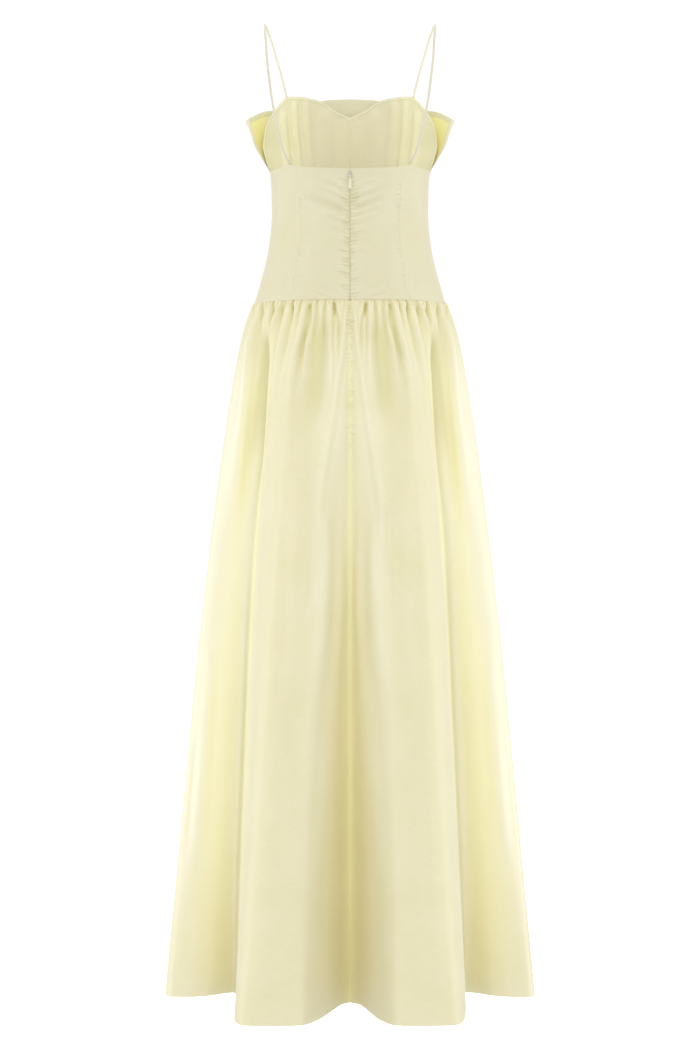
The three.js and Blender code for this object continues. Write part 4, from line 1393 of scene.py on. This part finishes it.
@dataclass
class Skirt:
    """The gathered skirt: two back panels with a seam between them, and a front panel cut on the fold.

    Args:
        cloth: Its taffeta.
        gap: What is left open at each seam, in degrees.
        seam_roll: How far the cloth rolls in to the centre-back seam, and over what width.
        edge_roll: The same at the waist seam.
        sway: Height of the slow waves of the hanging cloth.
        short_pinch: Depths and lengths that a short pinch of the front has, and so on for a long one.
        long_share: How many of them are long.
        apart: How many degrees lie between two.
        pinch_depth: How deep a pinch is for its stated depth.
        pinch_width: Its width at the seam and at its end, as shares of the way to the next one.
        pinch_curve: Below 1 for a narrower bottom.
        pinch_start: Share of its depth at the seam, and the distance over which it grows to the whole.
        puff: How far the cloth stands out between pinches, as a share of their depth.
        puff_fade: Between which distances below the seam that fades.
        painted_shades: Painted light and shade of the folds by direction: 1 where they are painted palest and
            -1 where they are painted deepest.
        crease_step: Columns between two points that a crease's bend is measured over.
    """

    # painted light: the skirt's taffeta has a paler colour than the bodice's, for the light that passes its
    # single layer
    cloth: Taffeta = Taffeta("taffeta_woven_skirt", "#F0E9C5", "#EBE4BA")
    gap: float = 0.004
    seam_roll: tuple[float, float] = (0.16, 1.6)
    edge_roll: tuple[float, float] = (1.5, 2.2)
    sway: float = 1.6
    short_pinch: tuple[tuple[float, float], tuple[float, float]] = ((1.4, 2.8), (15, 28))
    long_pinch: tuple[tuple[float, float], tuple[float, float]] = ((2.6, 4.4), (30, 56))
    long_share: float = 0.25
    apart: tuple[float, float] = (2.0, 3.9)
    pinch_depth: float = 1.35
    pinch_width: tuple[float, float] = (0.5, 1.2)
    pinch_curve: float = 0.75
    pinch_start: tuple[float, float] = (0.55, 3.0)
    puff: float = 0.55
    puff_fade: tuple[float, float] = (5.0, 16.0)
    painted_shades: tuple[tuple[float, float], ...] = (
        (-90, 0), (-70, 0.2), (-45, -0.3), (-25, 0.2), (0, 0.75), (12, 0.75), (20, 0.9), (27, 0.8), (32, 0),
        (36, -0.7), (39, -0.3), (42, 0.2), (46, 0.1), (66, 0), (75, 0.35), (83, 0.3), (88, 0), (90, -0.75),
    )
    crease_step: int = 3

    def pinches(self, seed: int, back: bool) -> list[Pinch]:
        """The pinches where the cloth is drawn into the seam, from one edge of a half to the other.

        Args:
            seed: Seed of their unevenness.
            back: True on the back, where they lie as the maker drew them up.

        Returns:
            The pinches by direction.
        """
        random = np.random.default_rng(seed)
        if back:
            across = np.array([pinch.place for pinch in BACK_PINCHES])
            across += random.uniform(-0.5, 0.5, len(across))
            turns = turn_across(across, np.full(len(across), WAIST), 1)
            return sorted(pinch._replace(place=float(turn)) for pinch, turn in zip(BACK_PINCHES, turns))
        made, turn = [], -90.0 + random.uniform(0.5, 1.5)
        while turn < -0.5:
            depths, lengths = self.long_pinch if random.uniform() < self.long_share else self.short_pinch
            made.append(Pinch(turn, random.uniform(*depths), random.uniform(*lengths)))
            turn += random.uniform(*self.apart)
        return made

    def puffs(self, turn: Array, drop: Array, pinches: Sequence[Pinch]) -> Array:
        """The lift of the cloth that stands out between its pinches.

        Args:
            turn: Directions on the left half.
            drop: Drops.
            pinches: The pinches by direction.

        Returns:
            One height for each point.
        """
        first, last = pinches[0], pinches[-1]
        ends = [first._replace(place=first.place - 2.5), *pinches, last._replace(place=last.place + 2.5)]
        places, depths, lengths = (np.array(values) for values in zip(*ends))
        after = np.clip(np.searchsorted(places, turn), 1, len(places) - 1)
        way = np.clip((turn - places[after - 1]) / (places[after] - places[after - 1]), 0, 1)
        below = drop - WAIST
        start, grown = self.pinch_start
        grow = mix(start, 1.0, ease(below, 0, grown))
        out = np.zeros(turn.shape)
        for end, near in ((after - 1, way), (after, 1 - way)):
            length = lengths[end]
            away = 1 - ease(below, GATHER_HOLD * length, length)
            wide = mix(*self.pinch_width, np.clip(below / length, 0, 1))
            groove = 1 - np.sin(0.5 * np.pi * np.clip(near / wide, 0, 1)) ** self.pinch_curve
            out -= self.pinch_depth * depths[end] * grow * away * groove
        mean = 0.5 * (depths[after - 1] + depths[after])
        return out + self.puff * mean * (1 - ease(below, *self.puff_fade))

    def lift(self, turn: Array, drop: Array, x: Array, seed: int, back: bool) -> Array:
        """The relief of the skirt over its plain form.

        Args:
            turn: Directions on the left half.
            drop: Drops.
            x: Distances from the centre line on the left half.
            seed: Seed of the small pinches.
            back: True on the back.

        Returns:
            One height for each point.
        """
        wander = turn + 0.5 * np.sin(drop / 38 + turn / 9) * ease(drop, 425, 520)
        out = gather_height(wander, drop)
        out += self.puffs(turn, drop, self.pinches(seed, back)) * ease(np.abs(turn), 0, 5)
        out -= self.edge_roll[0] * (1 - ease(drop - WAIST, 0, self.edge_roll[1]))
        if back:
            drawn = puckers(centre_line, (424, 640), step=6.0, reach=9, rise=2.5, height=1.2,
                            seed=71 + seed, side=1)
            drawn += [Crease(((0.3, 575), end), 1.3, 1.8, 2.4, (0.05, 0.6)) for end in STAR_ENDS]
            out += total_lift(SKIRT_CREASES, x, drop) * ease(turn, 0, 8) + total_lift(drawn, x, drop)
            out -= self.seam_roll[0] * (1 - ease(np.abs(x), 0, self.seam_roll[1]))
        from_seam = ease(np.abs(turn), 0, 8) * ease(90 - np.abs(turn), 0, 6)
        sway = self.sway * np.sin(turn / 5.3 + drop / 310 + seed)
        return out + sway * ease(drop, 520, 900) * from_seam

    def shading(self, turn: Array, drop: Array, lift: Array) -> tuple[Array, Array]:
        """Painted light and shade in the cloth's colour: the folds' light that passes the cloth more than
        once, painted highlights on ridges and painted shade in creases.

        Args:
            turn: Directions on the left half.
            drop: Drops.
            lift: The relief.

        Returns:
            Painted light and shade from 1, palest, to -1, deepest, and painted shade from 0 to 1 for the
            narrow creases.
        """
        step = self.crease_step
        padded = np.pad(lift, ((0, 0), (step, step)), mode="edge")
        bend = 0.5 * (padded[:, 2 * step:] + padded[:, :-2 * step]) - lift
        # painted light and shade: a colour by the folds' direction, a painted highlight on ridges, painted
        # shade in the creases near the waist and in the deep hollow
        near_waist = 1 - ease(drop, 430, 560)
        fold = Curve(self.painted_shades).at(turn) * ease(drop, WAIST, 560) * mix(1.0, 0.4, ease(drop, 1100, HEM))
        ridge = 0.25 * ease(-bend, 0.3, 3.0) * mix(0.4, 1.0, near_waist)
        crease = 0.6 * near_waist * ease(bend, 0.5, 4.5)
        hollow = 0.4 * ease(-lift, 5, 13) * (1 - ease(drop, 560, 680))
        return np.clip(fold + ridge, -1, 1), np.clip(crease + hollow, 0, 1)

    def rows(self) -> Array:
        """Drops of the rows: close together at the gathers and wider apart below."""
        top, bottom = np.array([0.03, 0.6, 1.3]) + WAIST, HEM - np.array([4, 1.5, 0.5, 0])
        return np.unique(np.concatenate([top, np.arange(422.5, 470, 1.5), np.arange(470, 645, 2.1),
                                         np.arange(645, HEM - 8, 8.0), bottom]))

    def panel(self, name: str, node_name: str, turn: Array, half: Half | None, seed: int,
              material: bpy.types.Material, flat: tuple[float, float], area: float) -> None:
        """Makes one panel.

        Args:
            name: The piece's name.
            node_name: The solid it stands for.
            turn: Directions of its columns.
            half: Which half it is, or None for the whole front.
            seed: Seed of its unevenness.
            material: Its material.
            flat: Width and length of its cut in metres; not used.
            area: Its flat area in square metres; not used.
        """
        turns, drops = np.meshgrid(turn, self.rows())
        x = np.abs(plain_skirt_point(turns, drops)[..., 0])
        lift = self.lift(left_turn(turns), drops, x, seed, half is not None)
        flip = half.flip if half else 1.0
        outer = moved(plain_skirt_point, turns, drops, lift) * flip
        inner = moved(plain_skirt_point, turns, drops, lift - CLOTH) * flip
        tone, drawn = self.shading(left_turn(turns), drops, lift)
        piece = shell_mesh(name, outer, inner, {PAINTED_TONE: (tone, tone), PAINTED_CREASE_SHADE: (drawn, drawn)})
        dress_in(piece, material, replaces=[node_name])

    def build(self) -> None:
        """Makes the three panels."""
        material = self.cloth.build()
        quarter = mix(self.gap, 90 - self.gap, spaced(190, 1.25, (0.5, 1.2, 2.0)))
        for half, seed in ((Half.LEFT, 5), (Half.RIGHT, 8)):
            self.panel(f"skirt_panel_back_{half.word}", f"skirt_back_{half.word}", quarter, half, seed,
                       material, (0.74, 1.07), 0.55)
        front = mix(-180 + self.gap, -self.gap, spaced(370, 1.9, (0.5, 1.2)))
        self.panel("skirt_panel_front", "skirt_front", front, None, 3, material, (1.18, 1.07), 0.9)


# ---------------------------------------------------------------- the zip
@dataclass
class Zip:
    """The zip in the centre-back seam: its tape, its coil, its slider and its pull tab.

    Args:
        tape: The tape's weave.
        tape_half: Half the tape's width.
        tape_span: Drops of the tape's ends.
        tape_room: How far the tape lies behind the bodice's face.
        thickness: The tape's thickness.
        gather_room: How much deeper both lie behind the gathers.
        gather_drops: Between which drops they come to lie that deep.
        restart: Drop from which the tape's rows are spaced afresh.
        monofilament: The coil's finish.
        coil: The coil's turns.
        coil_span: Drops of the coil's ends.
        coil_room: How far the coil lies behind the bodice's face.
        step: Distance between two rows of points.
        nickel: The slider's finish.
        lacquer: The pull tab's finish.
    """

    tape: Taffeta = Taffeta("zip_tape_woven", "#E3DD98", "#D6CF86", roughness=0.8, sheen=0.1, thread=0.5)
    tape_half: float = 10.0
    tape_span: tuple[float, float] = (228.0, 575.0)
    tape_room: float = 1.75
    thickness: float = 0.35
    gather_room: float = 3.4
    gather_drops: tuple[float, float] = (411.0, 425.0)
    restart: float = 400.0
    monofilament: Metal = Metal("nylon_coil_dyed", "#EDE8A4", 0.0, 0.45)
    coil: Row = Row(1.15, (2.6, 1.0, 0.8), 0.02, 4)
    coil_span: tuple[float, float] = (243.0, 572.0)
    coil_room: float = 1.12
    step: float = 3.0
    nickel: Metal = Metal("nickel_plated_zinc", "#B5B2A4", 1.0, 0.34)
    lacquer: Metal = Metal("lacquered_zinc", "#EEE9C8", 0.0, 0.35)

    def behind(self, x: Array, drop: Array, room: float) -> Array:
        """Points behind the centre-back seam, on the bodice and below it on the skirt.

        Args:
            x: Distances from the centre line.
            drop: Drops.
            room: How far they lie behind the bodice's face.

        Returns:
            The points.
        """
        depth = -(room + self.gather_room * ease(drop, *self.gather_drops))
        held = np.minimum(drop, WAIST)
        on_bodice = moved(bodice_point, turn_across(x, held, 1), held, depth)
        on_skirt = moved(plain_skirt_point, turn_across(x, np.full(x.shape, WAIST), 1), drop, depth)
        points = np.where((drop > WAIST)[..., None], on_skirt, on_bodice)
        points[..., 2] = -drop
        return points

    def build(self) -> None:
        """Makes the tape and the coil, and finishes the slider and the tab."""
        top, bottom = self.tape_span
        drops = np.concatenate([np.arange(top, self.restart, self.step),
                                np.arange(self.restart, bottom, self.step), [bottom]])
        across = np.linspace(-self.tape_half, self.tape_half, 15)
        outer = self.behind(*np.meshgrid(across, drops), self.tape_room)
        piece = shell_mesh("zip_tape_woven", outer, outer - [0, self.thickness, 0])
        dress_in(piece, self.tape.build(), replaces=["zip_tape"])
        heights = np.arange(*self.coil_span, self.step)
        line = self.behind(np.zeros(heights.shape), heights, self.coil_room)
        self.coil.lay("zip_coil", line, self.monofilament.build(), "zip_tape")
        for name, finish in (("zip_slider", self.nickel), ("zip_pull", self.lacquer)):
            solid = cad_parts[name]
            solid.data.materials.clear()
            solid.data.materials.append(finish.build())


# ---------------------------------------------------------------- the studio
@dataclass
class Studio:
    """A white studio: pale floor, soft light from both sides and a camera behind the dress.

    Args:
        camera_place: Where the camera stands, in metres.
        film: Height of its film in millimetres.
        seen_height: Height that it sees at the dress, in metres.
        aim: What the lights face.
        floor_drop: How far below the origin the floor lies, in metres.
        floor_reach: The floor's radius in metres.
        side_power: Power of the two lights at the sides, in watts, and so on for the others.
        surround: Strength of the white surround's light.
        seen_white: Its strength as the camera sees it.
        bounces: How often light is followed in all, and from cloth to cloth.
    """

    camera_place: tuple[float, float, float] = (0.0, 4.3, -0.75)
    film: float = 36.0
    seen_height: float = 1.575
    aim: tuple[float, float, float] = (0.0, 0.0, -0.75)
    floor_drop: float = 1.62
    floor_reach: float = 9.0
    side_power: float = 28.0
    quarter_power: float = 12.0
    back_power: float = 35.0
    front_power: float = 33.0
    top_power: float = 16.0
    surround: float = 0.66
    seen_white: float = 1.05
    bounces: tuple[int, int] = (16, 12)

    def build(self) -> None:
        """Makes the camera, the lights, the background and the floor."""
        scene = bpy.context.scene
        scene.view_settings.view_transform = "Standard"
        lens = bpy.data.cameras.new("camera")
        lens.sensor_width = self.film
        lens.lens = self.film * self.camera_place[1] / self.seen_height
        camera = bpy.data.objects.new("camera", lens)
        camera.location = self.camera_place
        camera.rotation_euler = (math.radians(90), 0, math.radians(180))
        scene.collection.objects.link(camera)
        scene.camera = camera
        self.world()
        scene.cycles.max_bounces, scene.cycles.diffuse_bounces = self.bounces
        for side in (-1, 1):
            self.softbox(f"softbox_{side}", (side * 2.5, -0.2, -1.25), (1.4, 2.0), self.side_power)
        for side in (-1, 1):
            self.softbox(f"softbox_quarter_{side}", (side * 2.9, 3.0, -1.1), (1.6, 1.8), self.quarter_power)
        self.softbox("softbox_back", (0, 4.6, -0.8), (3.4, 2.4), self.back_power)
        self.softbox("softbox_front", (0, -4.6, 0.3), (3.4, 2.4), self.front_power)
        self.softbox("softbox_top", (0, 1.3, 2.2), (2.0, 1.6), self.top_power)
        self.floor()

    def world(self) -> None:
        """An even white surround."""
        world = bpy.data.worlds.new("white_surround")
        bpy.context.scene.world = world
        tree = emptied(world)
        seen = node(tree, "ShaderNodeLightPath").outputs["Is Camera Ray"]
        lit = node(tree, "ShaderNodeBackground", None, {"Color": (1, 1, 1, 1), "Strength": self.surround})
        white = node(tree, "ShaderNodeBackground", None, {"Color": (1, 1, 1, 1), "Strength": self.seen_white})
        both = node(tree, "ShaderNodeMixShader", {0: seen, 1: lit.outputs[0], 2: white.outputs[0]})
        node(tree, "ShaderNodeOutputWorld", {"Surface": both.outputs[0]})

    def softbox(self, name: str, place: tuple[float, float, float], size: tuple[float, float],
                power: float) -> None:
        """A large soft light that faces the dress.

        Args:
            name: Its name.
            place: Its centre in metres.
            size: Its width and height in metres.
            power: Its power in watts.
        """
        light = bpy.data.lights.new(name, "AREA")
        light.shape, light.size, light.size_y, light.energy = "RECTANGLE", *size, power
        made = bpy.data.objects.new(name, light)
        made.location = place
        way = Vector(self.aim) - Vector(place)
        made.rotation_euler = way.to_track_quat("-Z", "Y").to_euler()
        bpy.context.scene.collection.objects.link(made)

    def floor(self) -> None:
        """A plain pale floor below the hem."""
        angle = np.linspace(0, 2 * np.pi, 96, endpoint=False)
        reach = self.floor_reach
        ring = [(reach * math.cos(a), reach * math.sin(a), -self.floor_drop) for a in angle]
        mesh = bpy.data.meshes.new("floor")
        mesh.from_pydata(ring, [], [tuple(range(len(ring)))])
        made = link("floor", mesh)
        material = bpy.data.materials.new("floor_paint")
        material.use_nodes = True
        shader = material.node_tree.nodes["Principled BSDF"]
        shader.inputs["Base Color"].default_value = (0.95, 0.95, 0.95, 1)
        shader.inputs["Roughness"].default_value = 0.9
        shader.inputs["Emission Color"].default_value = (1, 1, 1, 1)
        shader.inputs["Emission Strength"].default_value = 1.0
        mesh.materials.append(material)
        made.visible_diffuse = made.visible_glossy = False


def main() -> None:
    """Builds the dress and the studio in order."""
    logging.basicConfig(level=logging.INFO, format="%(name)s %(message)s")
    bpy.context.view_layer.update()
    Studio().build()
    for part in (Straps(), Bodice(), Lining(), Flap(), Skirt(), Zip()):
        part.build()


if __name__ == "__main__":
    main()
